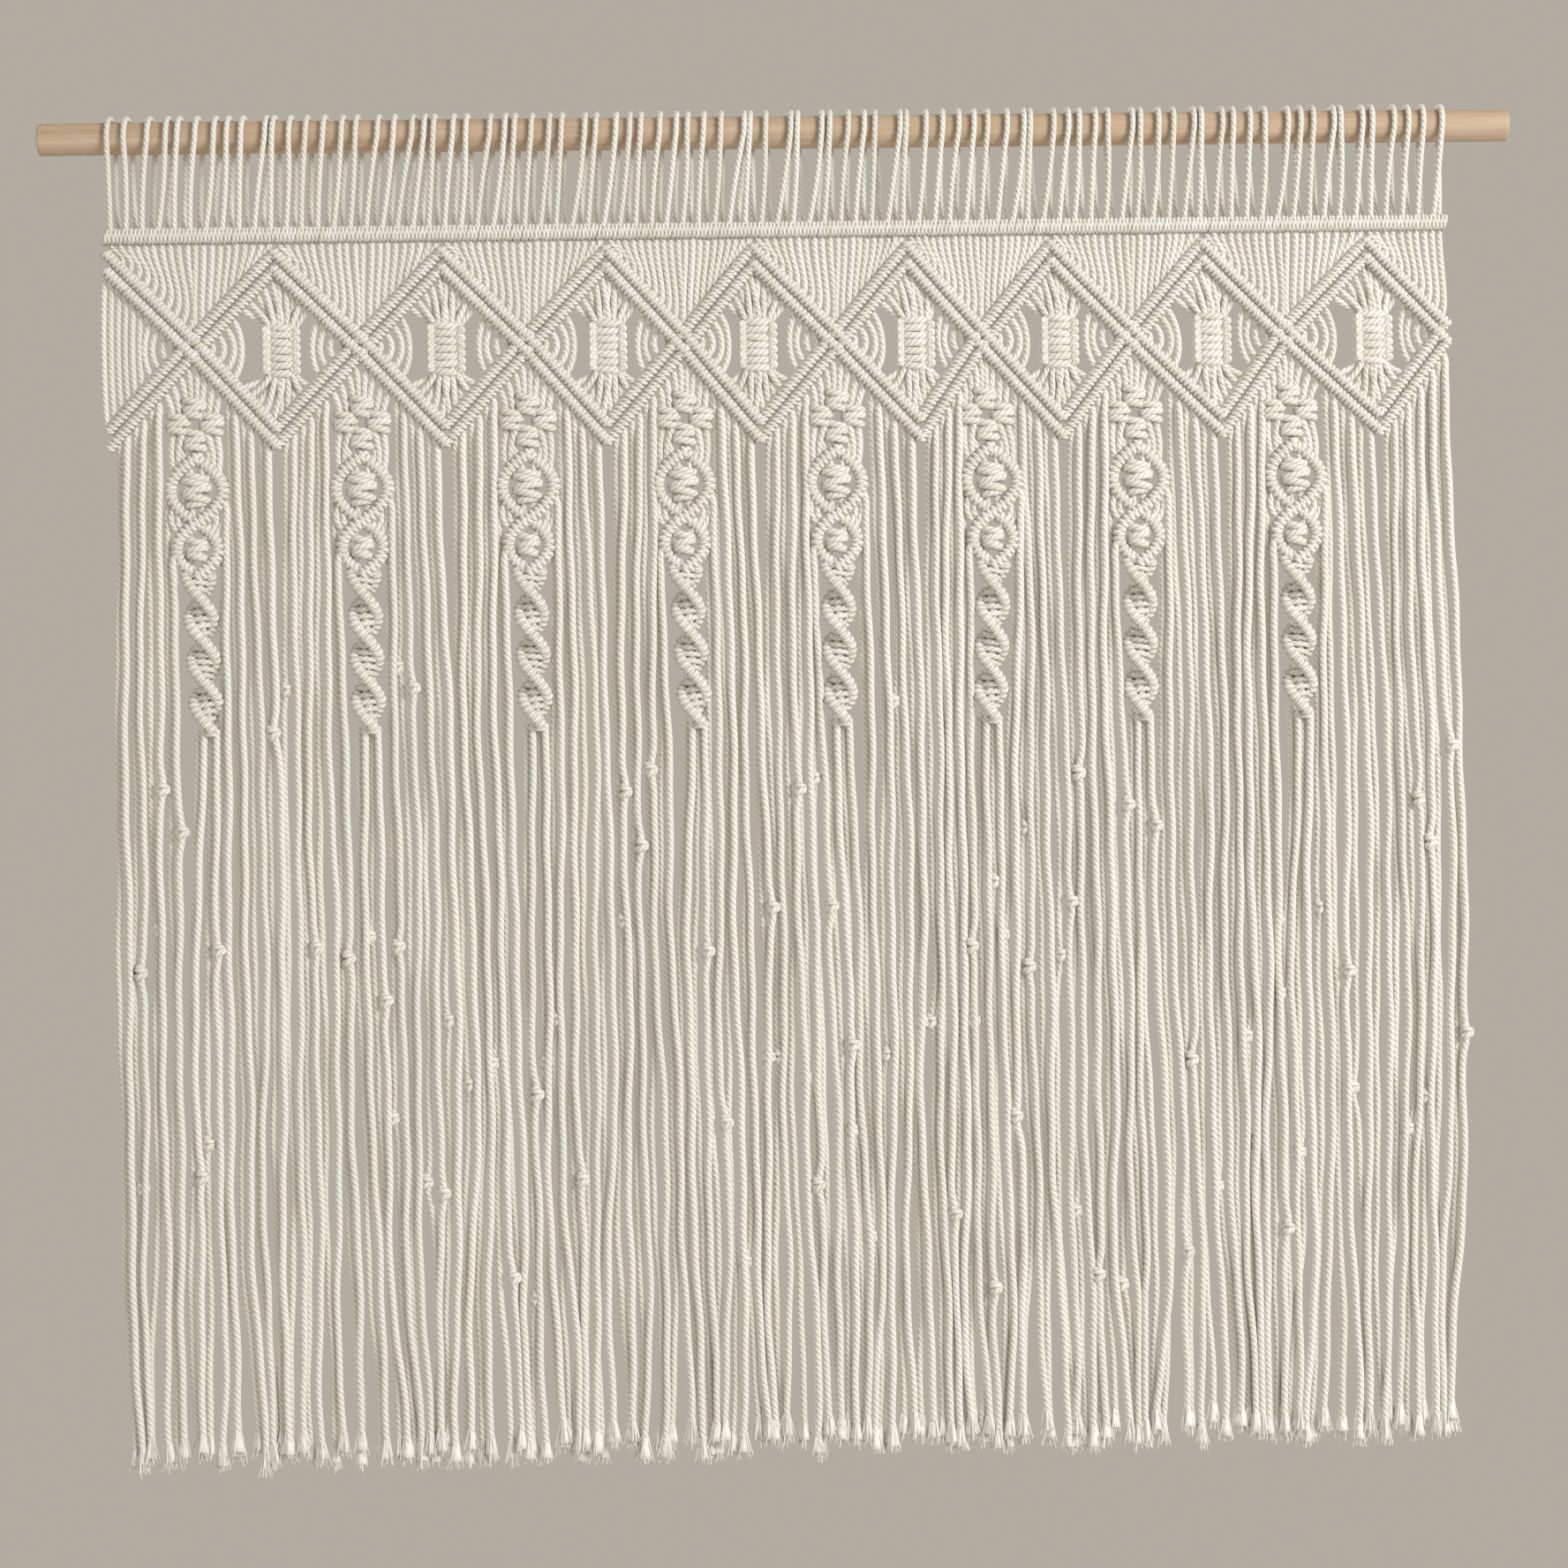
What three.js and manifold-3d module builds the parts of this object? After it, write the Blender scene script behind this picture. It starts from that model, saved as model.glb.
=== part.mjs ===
// A macrame curtain that hangs on a wooden rod, in millimetres, +Z up, the front towards -Y.
// The origin is the middle of the rod's axis, and the curtain hangs in the plane below it.
import * as THREE from "three";
import { mergeVertices } from "three/addons/utils/BufferGeometryUtils.js";
import Module from "manifold-3d";

const wasm = await Module();
wasm.setup();

const GAP = 0.3; // between pieces that meet
const FLATNESS = 0.05; // how far a face may be from flat where points are left out
const SINK = 2.5; // how far a strand's end reaches into the bar or knot that holds it

const ROD = { length: 1098, radius: 12, sides: 40 };
const CURTAIN = { left: -500, right: 500, hem: -984, hemSway: 9 };

// Ridged sections of the strands: one cord, two cords that lie close, and two that lie side by side.
const CORD = { width: 4.4, depth: 4 };
const PAIR = { width: 7.4, depth: 4.6 };
const BAND = { width: 8.6, depth: 4.6 };

// Cords are folded over the rod, and each leaves a front leg and a back leg.
const LOOPS = { count: 85, arcSteps: 3, arcFrom: 0.2, clearance: GAP, lean: 2.6, footSway: 0.6 };
const CORDS_PER_HALF = 10; // cords of one half of a diamond, drawn two by two above its lowest row
const PAIRS_PER_HALF = 4; // inside the diamonds, where the ones at the crossing are hidden
const BANDS_PER_HALF = 5; // between the straight bar and the diamonds
const BAND_FOOT = { from: 0.1, span: 0.85 }; // where they meet the diagonal, as fractions of it
const SIDE_BOW = 3; // of the strands beside a centre knot, away from the crossing
const SIDE_SHARE = 0.4; // cords this near to a crossing stay out of the centre knot and join the column below

// Clove-hitch bars: ridges towards the front, a flat back.
const BAR = { z: -73, height: 13.5, valley: -4.6, peak: -7.2, back: 5.4, ridges: 50 };
const ROW = { width: 8.6, valley: -3.6, peak: -5.8, back: 4.2, ridges: 4, overlap: 1.2 };

// Heights of the lines between the two rows of each diagonal.
const LEVEL = { apex: -93.5, crossing: -156, bottom: -223 };

// Square knots in the middle of each diamond.
const KNOT = { top: -144, bottom: -178, radius: 15.5, waist: 12.5, flatten: 0.5, beads: 3, sides: 6 };
const FAN = { width: 21, middle: 1.12 }; // of the strands that run into a centre knot

// Knotted column under each crossing: a cluster of square knots, then two rings with a berry knot in each.
const RINGS = [
  { z: -212, halfWidth: 19, halfHeight: 24, holeWidth: 4, holeHeight: 7, front: -4.6, back: 4, berry: null },
  { z: -259, halfWidth: 22, halfHeight: 24, holeWidth: 11, holeHeight: 12, front: -5.6, back: 4.4, berry: 8 },
  { z: -302, halfWidth: 18.5, halfHeight: 20, holeWidth: 5, holeHeight: 7, front: -5, back: 4.2, berry: null },
];
const RING_TIP = 5; // half the width of a ring's top and bottom
const SPIRAL = { top: -316, bottom: -442, width: 22, depth: 10, turns: 2, steps: 12 };
const NECK = { fraction: 0.25, reach: 5, rise: 0.7 }; // the strands from the lowest row to the cluster

// Loose cords hang in a front and a back layer. Those beside a column hang behind its rings, from an elbow.
const TAILS = { perSide: 3, layer: 1.9, behind: 7.6, behindShare: 0.7, elbowOut: 4, elbowDrop: 3 };
const SPIRAL_TAILS = { perSide: 2, inner: 2.4, pitch: 4.6, sink: 5 };
const RING_TAILS = { out: 0.6, drop: 0.2 }; // where they leave the first ring, as shares of its half sizes

// The diamonds from left to right, as uneven as they were tied. crossing is where the diagonals cross on the
// left, apex and bottom are the diamond's ends, knot its middle, ring and tip the drift of the column below.
const DIAMONDS = [
  { crossing: -438, apex: -377, knot: -373, bottom: -377, ring: 1, tip: 6 },
  { crossing: -314, apex: -253, knot: -251, bottom: -252, ring: -1, tip: 1 },
  { crossing: -191, apex: -131, knot: -131, bottom: -132, ring: -1, tip: 2 },
  { crossing: -74, apex: -21, knot: -19, bottom: -18, ring: -2, tip: 4 },
  { crossing: 40, apex: 94, knot: 99, bottom: 102, ring: -2, tip: -2 },
  { crossing: 149, apex: 202, knot: 207, bottom: 209, ring: 6, tip: 1 },
  { crossing: 262, apex: 316, knot: 322, bottom: 329, ring: 3, tip: 2 },
  { crossing: 378, apex: 440, knot: 444, bottom: 448, ring: 6, tip: 7 },
];

// A route through given points. Each step of an extrusion along it ends on one of them, and its section turns
// by the given angle from end to end.
class Route extends THREE.Curve {
  constructor(points, twist = 0) {
    super();
    this.points = points;
    this.twist = twist;
  }

  getPoint(t, target = new THREE.Vector3()) {
    const last = this.points.length - 1;
    const start = Math.min(Math.floor(t * last + 1e-9), last - 1);
    return target.lerpVectors(this.points[start], this.points[start + 1], t * last - start);
  }

  getPointAt(u, target) {
    return this.getPoint(u, target);
  }

  getTangentAt(u, target = new THREE.Vector3()) {
    const last = this.points.length - 1;
    const index = Math.round(u * last);
    target.set(0, 0, 0);
    for (const step of [index - 1, index]) {
      if (step >= 0 && step < last) {
        target.add(this.points[step + 1].clone().sub(this.points[step]).normalize());
      }
    }
    return target.normalize();
  }

  computeFrenetFrames(segments, closed) {
    const frames = super.computeFrenetFrames(segments, closed);
    for (let i = 0; i <= segments; i += 1) {
      const turn = (this.twist * i) / segments;
      frames.normals[i].applyAxisAngle(frames.tangents[i], turn);
      frames.binormals[i].applyAxisAngle(frames.tangents[i], turn);
    }
    return frames;
  }
}

function point(x, z, y = 0) {
  return new THREE.Vector3(x, y, z);
}

// A number from 0 to 1 that looks random but is the same in each build.
function scatter(index, salt) {
  const value = Math.sin(index * 12.9898 + salt * 78.233) * 43758.5453;
  return value - Math.floor(value);
}

function sway(index, salt, size) {
  return (2 * scatter(index, salt) - 1) * size;
}

function toSolid(geometry) {
  geometry.deleteAttribute("normal");
  geometry.deleteAttribute("uv");
  const merged = mergeVertices(geometry, 1e-4);
  const mesh = new wasm.Mesh({
    numProp: 3,
    vertProperties: Float32Array.from(merged.attributes.position.array),
    triVerts: Uint32Array.from(merged.index.array),
  });
  return new wasm.Manifold(mesh);
}

// One solid of all the pieces, with no needless points on its flat faces.
function join(geometries) {
  return wasm.Manifold.union(geometries.map(toSolid)).asOriginal().simplify(FLATNESS);
}

function cut(geometries, rooms) {
  return join(geometries).subtract(join(rooms)).asOriginal().simplify(FLATNESS);
}

function node(name, solid, material) {
  const made = solid.getMesh();
  const geometry = new THREE.BufferGeometry();
  geometry.setAttribute("position", new THREE.Float32BufferAttribute(made.vertProperties, 3));
  geometry.setIndex(new THREE.Uint32BufferAttribute(made.triVerts, 1));
  geometry.computeVertexNormals();
  const mesh = new THREE.Mesh(geometry, material);
  mesh.name = name;
  return mesh;
}

// A strand of three sides along given points, its ridge towards the front where it hangs.
function strand(points, section) {
  const shape = new THREE.Shape([
    new THREE.Vector2(section.depth / 2, 0),
    new THREE.Vector2(-section.depth / 2, section.width / 2),
    new THREE.Vector2(-section.depth / 2, -section.width / 2),
  ]);
  const path = { steps: points.length - 1, extrudePath: new Route(points) };
  return new THREE.ExtrudeGeometry(shape, path);
}

// A bar of the given length along X and width along Z whose front is a row of ridges.
function ridgedBar(length, width, section) {
  const pitch = length / section.ridges;
  const shape = new THREE.Shape();
  shape.moveTo(0, section.valley);
  for (let i = 0; i < section.ridges; i += 1) {
    shape.lineTo((i + 0.5) * pitch, section.peak);
    shape.lineTo((i + 1) * pitch, section.valley);
  }
  shape.lineTo(length, section.back);
  shape.lineTo(0, section.back);
  return new THREE.ExtrudeGeometry(shape, { depth: width, bevelEnabled: false });
}

// The section of a plain bar that holds a ridged one with a gap round it.
function roomOf(section) {
  return { valley: section.peak - GAP, peak: section.peak - GAP, back: section.back + GAP, ridges: 1 };
}

// One diagonal of a half diamond, from its crossing to its apex or its bottom.
class Diagonal {
  constructor(half, endX, endZ) {
    this.start = point(half.crossing, LEVEL.crossing);
    this.end = point(endX, endZ);
    this.along = this.end.clone().sub(this.start).normalize();
    const outward = Math.sign(endZ - LEVEL.crossing) * Math.sign(this.along.x);
    this.out = point(-this.along.z * outward, this.along.x * outward);
  }

  // The point at a fraction of the diagonal, moved away from the middle of the diamond.
  place(fraction, across) {
    return this.start.clone().lerp(this.end, fraction).addScaledVector(this.out, across);
  }

  // A bar beside the diagonal's line, from the crossing's axis to the diamond's axis.
  bar(across, width, section, spare = 0) {
    const shift = this.out.x * across;
    const from = -shift / this.along.x - ROW.overlap - spare;
    const to = (this.end.x - this.start.x - shift) / this.along.x + ROW.overlap + spare;
    const side = new THREE.Vector3().crossVectors(this.along, point(0, 0, 1));
    const corner = this.start.clone().addScaledVector(this.along, from);
    corner.addScaledVector(this.out, across).addScaledVector(side, -width / 2);
    const frame = new THREE.Matrix4().makeBasis(this.along, point(0, 0, 1), side).setPosition(corner);
    return ridgedBar(to - from, width, section).applyMatrix4(frame);
  }

  // Both rows of hitches, or the row on one side of the line.
  doubleRow() {
    return this.bar(0, 2 * ROW.width - GAP, ROW);
  }

  row(sign) {
    return this.bar((sign * ROW.width) / 2, ROW.width - GAP, ROW);
  }

  // The room that the outer row takes, with a gap round it.
  outerRoom() {
    return this.bar(ROW.width / 2, ROW.width + GAP, roomOf(ROW), GAP);
  }
}

// The halves of the diamonds from left to right. The first is cut off by the curtain's left edge.
function listHalves() {
  const first = { crossing: DIAMONDS[0].crossing, apex: CURTAIN.left, bottom: CURTAIN.left, knot: null };
  const halves = [first];
  DIAMONDS.forEach((row, index) => {
    const isLast = index === DIAMONDS.length - 1;
    const next = isLast ? CURTAIN.right : DIAMONDS[index + 1].crossing;
    halves.push({ ...row, isOpen: false });
    halves.push({ ...row, crossing: next, isOpen: isLast });
  });
  return halves.map((half, index) => ({
    ...half,
    index,
    rising: half.crossing < half.apex,
    upper: new Diagonal(half, half.apex, LEVEL.apex),
    lower: new Diagonal(half, half.bottom, LEVEL.bottom),
  }));
}

// The place of one strand of a half, counted from the left, as a fraction from the crossing.
function fractionOf(half, rank, count) {
  const share = (rank + 0.5) / count;
  return half.rising ? share : 1 - share;
}

function buildRod() {
  const rod = new THREE.CylinderGeometry(ROD.radius, ROD.radius, ROD.length, ROD.sides);
  return toSolid(rod.rotateZ(Math.PI / 2));
}

// The cords over the rod and the straight bar that they are hitched to.
function buildHeading() {
  const width = CURTAIN.right - CURTAIN.left;
  const pitch = width / LOOPS.count;
  const bar = ridgedBar(width, BAR.height, BAR);
  const pieces = [bar.translate(CURTAIN.left, 0, BAR.z - BAR.height / 2)];
  const arc = (Math.PI - 2 * LOOPS.arcFrom) / LOOPS.arcSteps;
  const reach = (ROD.radius + LOOPS.clearance + CORD.width / 2) / Math.cos(arc / 2);
  const foot = BAR.z + BAR.height / 2 - SINK;
  for (let i = 0; i < LOOPS.count; i += 1) {
    const x = CURTAIN.left + (i + 0.5) * pitch;
    const top = x + sway(i, 1, LOOPS.lean);
    const route = [point(x - pitch / 5, foot, sway(i, 2, LOOPS.footSway) - CORD.depth / 2)];
    for (let step = 0; step <= LOOPS.arcSteps; step += 1) {
      const angle = LOOPS.arcFrom + step * arc;
      route.push(point(top, reach * Math.sin(angle), -reach * Math.cos(angle)));
    }
    route.push(point(x + pitch / 5, foot, sway(i, 3, LOOPS.footSway) + CORD.depth / 2));
    pieces.push(strand(route, CORD));
  }
  return join(pieces);
}

// The bundle of square knots in the middle of a diamond.
function centreKnot(x) {
  const height = KNOT.top - KNOT.bottom;
  const profile = [new THREE.Vector2(0, 0)];
  for (let i = 0; i <= 2 * KNOT.beads; i += 1) {
    const radius = i % 2 === 0 ? KNOT.waist : KNOT.radius;
    profile.push(new THREE.Vector2(radius, (height * i) / (2 * KNOT.beads)));
  }
  profile.push(new THREE.Vector2(0, height));
  const knot = new THREE.LatheGeometry(profile, KNOT.sides);
  return knot.rotateX(Math.PI / 2).scale(1, KNOT.flatten, 1).translate(x, 0, KNOT.bottom);
}

// The strands of one half inside its diamond: those near the crossing bow past the middle, the others run
// through the centre knot.
function innerStrands(half) {
  const pieces = [];
  const edge = ROW.width - SINK;
  const side = half.rising ? 1 : -1;
  for (let rank = 0; rank < PAIRS_PER_HALF; rank += 1) {
    const fraction = fractionOf(half, rank, PAIRS_PER_HALF);
    const from = half.upper.place(fraction, -edge);
    const to = half.lower.place(fraction, -edge);
    if (half.knot !== null && fraction > SIDE_SHARE) {
      const inset = side * (fraction - FAN.middle) * FAN.width;
      const enter = point(half.knot + inset, KNOT.top - SINK);
      const leave = point(half.knot + inset, KNOT.bottom + SINK);
      pieces.push(strand([from, enter], PAIR), strand([leave, to], PAIR));
    } else if (from.z - to.z > 2 * PAIR.width) {
      const bow = half.knot === null ? 0 : SIDE_BOW * side;
      pieces.push(strand([from, from.clone().lerp(to, 0.5).add(point(bow, 0)), to], PAIR));
    }
  }
  return pieces;
}

function upperStrands(half) {
  const pieces = [];
  for (let rank = 0; rank < BANDS_PER_HALF; rank += 1) {
    const fraction = fractionOf(half, rank, BANDS_PER_HALF);
    const top = point(half.crossing + (half.apex - half.crossing) * fraction, BAR.z);
    const foot = half.upper.place(BAND_FOOT.from + BAND_FOOT.span * fraction, ROW.width - SINK);
    pieces.push(strand([top, foot], BAND));
  }
  return pieces;
}

function buildLattice(halves) {
  const pieces = [];
  for (const half of halves) {
    pieces.push(half.upper.doubleRow(), half.lower.row(-1));
    pieces.push(...upperStrands(half), ...innerStrands(half));
  }
  for (const row of DIAMONDS) {
    pieces.push(centreKnot(row.knot));
  }
  const height = BAR.height + 2 * GAP;
  const barRoom = ridgedBar(ROD.length, height, roomOf(BAR)).translate(-ROD.length / 2, 0, BAR.z - height / 2);
  return cut(pieces, [barRoom, ...halves.map((half) => half.lower.outerRoom())]);
}

function hemOf(index) {
  return CURTAIN.hem + sway(index, 5, CURTAIN.hemSway);
}

// The lowest row of hitches, a zigzag strip, and the cords that hang from it. Those next to a crossing belong
// to the column below it, and those beside the column hang behind its rings.
function buildFringe(halves) {
  const pieces = halves.map((half) => half.lower.row(1));
  for (const half of halves) {
    for (let rank = 0; rank < CORDS_PER_HALF; rank += 1) {
      const fraction = fractionOf(half, rank, CORDS_PER_HALF);
      if (fraction > SIDE_SHARE || half.isOpen) {
        const index = half.index * CORDS_PER_HALF + rank;
        const isBehind = fraction < TAILS.behindShare && !half.isOpen;
        const layer = isBehind ? TAILS.behind : (rank % 2 === 0 ? -1 : 1) * TAILS.layer;
        const end = point(half.lower.place(fraction, 0).x, hemOf(index), layer);
        const route = [half.lower.place(fraction, ROW.width - SINK), end];
        if (isBehind) {
          const elbow = half.lower.place(fraction, ROW.width + TAILS.elbowOut);
          route.splice(1, 0, elbow.add(point(0, -TAILS.elbowDrop, layer)));
        } else {
          route[0].setY(layer);
        }
        pieces.push(strand(route, CORD));
      }
    }
  }
  return join(pieces);
}

// A knotted ring with a rhomb-shaped hole, and the berry knot in its middle.
function knottedRing(x, ring) {
  const shape = new THREE.Shape();
  shape.moveTo(ring.halfWidth, 0);
  shape.lineTo(RING_TIP, ring.halfHeight);
  shape.lineTo(-RING_TIP, ring.halfHeight);
  shape.lineTo(-ring.halfWidth, 0);
  shape.lineTo(-RING_TIP, -ring.halfHeight);
  shape.lineTo(RING_TIP, -ring.halfHeight);
  const hole = new THREE.Path();
  hole.moveTo(ring.holeWidth, 0);
  hole.lineTo(0, ring.holeHeight);
  hole.lineTo(-ring.holeWidth, 0);
  hole.lineTo(0, -ring.holeHeight);
  shape.holes.push(hole);
  const band = new THREE.ExtrudeGeometry(shape, { depth: ring.back - ring.front, bevelEnabled: false });
  const pieces = [band.rotateX(Math.PI / 2).translate(x, ring.back, ring.z)];
  if (ring.berry !== null) {
    const berry = new THREE.OctahedronGeometry(1).scale(ring.berry, ring.berry, ring.holeHeight + 1.5);
    pieces.push(berry.translate(x, 0, ring.z));
  }
  return pieces;
}

// The mirror image of a form, left for right, with its faces turned outwards again.
function mirrored(geometry) {
  const places = geometry.scale(-1, 1, 1).attributes.position;
  for (let i = 0; i < places.count; i += 3) {
    const [second, third] = [i + 1, i + 2].map((k) => new THREE.Vector3().fromBufferAttribute(places, k));
    places.setXYZ(i + 1, third.x, third.y, third.z);
    places.setXYZ(i + 2, second.x, second.y, second.z);
  }
  return geometry;
}

// The half-knot spiral: a flat bar that turns as it hangs, so that its edges fall to the right in front.
function spiral(fromX, toX) {
  const route = [];
  for (let i = 0; i <= SPIRAL.steps; i += 1) {
    const share = i / SPIRAL.steps;
    route.push(point(-fromX - (toX - fromX) * share, SPIRAL.top + (SPIRAL.bottom - SPIRAL.top) * share));
  }
  const shape = new THREE.Shape([
    new THREE.Vector2(SPIRAL.depth / 2, 0),
    new THREE.Vector2(0, SPIRAL.width / 2),
    new THREE.Vector2(-SPIRAL.depth / 2, 0),
    new THREE.Vector2(0, -SPIRAL.width / 2),
  ]);
  const path = { steps: SPIRAL.steps, extrudePath: new Route(route, SPIRAL.turns * 2 * Math.PI) };
  return mirrored(new THREE.ExtrudeGeometry(shape, path));
}

// The column under a crossing and its cords: some drop from the rings, the others hang on below the spiral.
function buildPendant(row, left, right) {
  const ringX = row.crossing + row.ring;
  const tipX = row.crossing + row.tip;
  const [cluster, firstRing, secondRing] = RINGS;
  const clusterX = row.crossing + row.ring / 3;
  const pieces = [
    ...knottedRing(clusterX, cluster),
    ...knottedRing(ringX, firstRing),
    ...knottedRing(ringX, secondRing),
    spiral(ringX, tipX),
  ];
  for (const half of [left, right]) {
    const side = half.rising ? 1 : -1;
    const neck = point(clusterX + NECK.reach * side, cluster.z + NECK.rise * cluster.halfHeight);
    pieces.push(strand([half.lower.place(NECK.fraction, ROW.width - SINK), neck], PAIR));
    for (let rank = 0; rank < TAILS.perSide; rank += 1) {
      const fraction = (rank + 0.5) / CORDS_PER_HALF;
      const layer = (rank % 2 === 0 ? -1 : 1) * side * TAILS.layer;
      const end = point(half.lower.place(fraction, 0).x, hemOf(rank + side * row.crossing), layer);
      if (rank < SPIRAL_TAILS.perSide) {
        const reach = side * (SPIRAL_TAILS.inner + SPIRAL_TAILS.pitch * rank);
        pieces.push(strand([point(tipX + reach, SPIRAL.bottom + SPIRAL_TAILS.sink, layer), end], CORD));
      } else {
        const { halfWidth, halfHeight, z } = firstRing;
        const root = point(ringX + side * RING_TAILS.out * halfWidth, z - RING_TAILS.drop * halfHeight);
        const elbow = point(ringX + side * halfWidth, z - halfHeight, layer);
        pieces.push(strand([root, elbow, end], CORD));
      }
    }
  }
  return cut(pieces, [left.lower.outerRoom(), right.lower.outerRoom()]);
}

function build() {
  const cotton = new THREE.MeshStandardMaterial({ name: "cotton_cord", color: 0xebe8dc, roughness: 0.9 });
  const wood = new THREE.MeshStandardMaterial({ name: "rod_wood", color: 0xd2b48f, roughness: 0.6 });
  const halves = listHalves();
  const curtain = new THREE.Group();
  curtain.name = "macrame_curtain";
  curtain.add(node("rod", buildRod(), wood));
  curtain.add(node("heading", buildHeading(), cotton));
  curtain.add(node("lattice", buildLattice(halves), cotton));
  curtain.add(node("fringe", buildFringe(halves), cotton));
  DIAMONDS.forEach((row, index) => {
    const pendant = buildPendant(row, halves[2 * index], halves[2 * index + 1]);
    curtain.add(node(`pendant_${index + 1}`, pendant, cotton));
  });
  return curtain;
}

export default build();
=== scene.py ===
"""Looks of the macrame curtain: twisted cotton cords, hitches, knots and fringe on a wooden rod.

Sizes are in millimetres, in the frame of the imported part: X along the rod, the front towards -Y, Z up, and the
origin in the middle of the rod's axis. Meshes and finishes are in metres.
"""

import logging
import math
from dataclasses import dataclass, field, replace
from enum import Enum
from typing import Any, Optional, Sequence, Union

import bmesh
import bpy
import numpy as np
from mathutils import Matrix, Vector


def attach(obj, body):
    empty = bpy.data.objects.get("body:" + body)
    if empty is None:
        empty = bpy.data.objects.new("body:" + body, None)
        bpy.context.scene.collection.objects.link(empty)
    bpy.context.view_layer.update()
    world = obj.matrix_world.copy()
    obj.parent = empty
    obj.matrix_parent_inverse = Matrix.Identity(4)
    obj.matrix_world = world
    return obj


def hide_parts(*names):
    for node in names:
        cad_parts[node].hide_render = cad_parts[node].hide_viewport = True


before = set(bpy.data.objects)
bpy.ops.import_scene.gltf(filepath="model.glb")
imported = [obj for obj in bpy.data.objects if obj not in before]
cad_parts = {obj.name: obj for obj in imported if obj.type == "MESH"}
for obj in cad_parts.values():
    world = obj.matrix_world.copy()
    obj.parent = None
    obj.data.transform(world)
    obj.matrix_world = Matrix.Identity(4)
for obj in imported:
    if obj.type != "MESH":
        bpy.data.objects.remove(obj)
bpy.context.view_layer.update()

LOG = logging.getLogger("curtain")
MM = 0.001
BODY = "root"

# A hair over a half, so that a path for a few rings is never too short for its last one.
HALF_PITCH = 0.51

Points = np.ndarray
Colour = tuple[float, float, float]
Number = Union["Value", float, int]


class Slot(Enum):
    """The record's material slots."""

    COTTON = "cotton_cord"
    WOOD = "rod_wood"


class Mark(Enum):
    """Attributes on a cord's points: its lay and tone for the cotton finish, and its radius for the sweep."""

    LAY = "cord_lay"
    TONE = "cord_tone"
    RADIUS = "cord_radius"


class Value:
    """A number in a node tree that works in Python expressions."""

    def __init__(self, board: "NodeBoard", socket: bpy.types.NodeSocket) -> None:
        """Keeps the socket and the board that its maths is put on."""
        self.board = board
        self.socket = socket

    def __add__(self, other: Number) -> "Value":
        """This value plus another."""
        return self.board.math("ADD", self, other)

    __radd__ = __add__

    def __sub__(self, other: Number) -> "Value":
        """This value less another."""
        return self.board.math("SUBTRACT", self, other)

    def __rsub__(self, other: Number) -> "Value":
        """Another value less this one."""
        return self.board.math("SUBTRACT", other, self)

    def __mul__(self, other: Number) -> "Value":
        """This value times another."""
        return self.board.math("MULTIPLY", self, other)

    __rmul__ = __mul__

    def __truediv__(self, other: Number) -> "Value":
        """This value divided by another."""
        return self.board.math("DIVIDE", self, other)

    def __rtruediv__(self, other: Number) -> "Value":
        """Another value divided by this one."""
        return self.board.math("DIVIDE", other, self)

    def __pow__(self, other: Number) -> "Value":
        """This value to a power."""
        return self.board.math("POWER", self, other)

    def __rpow__(self, other: Number) -> "Value":
        """Another value to the power of this one."""
        return self.board.math("POWER", other, self)

    def __abs__(self) -> "Value":
        """This value without its sign."""
        return self.board.math("ABSOLUTE", self)

    def sin(self) -> "Value":
        """The sine of this angle."""
        return self.board.math("SINE", self)

    def cos(self) -> "Value":
        """The cosine of this angle."""
        return self.board.math("COSINE", self)

    def floor(self) -> "Value":
        """The whole number at or below this value."""
        return self.board.math("FLOOR", self)


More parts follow.
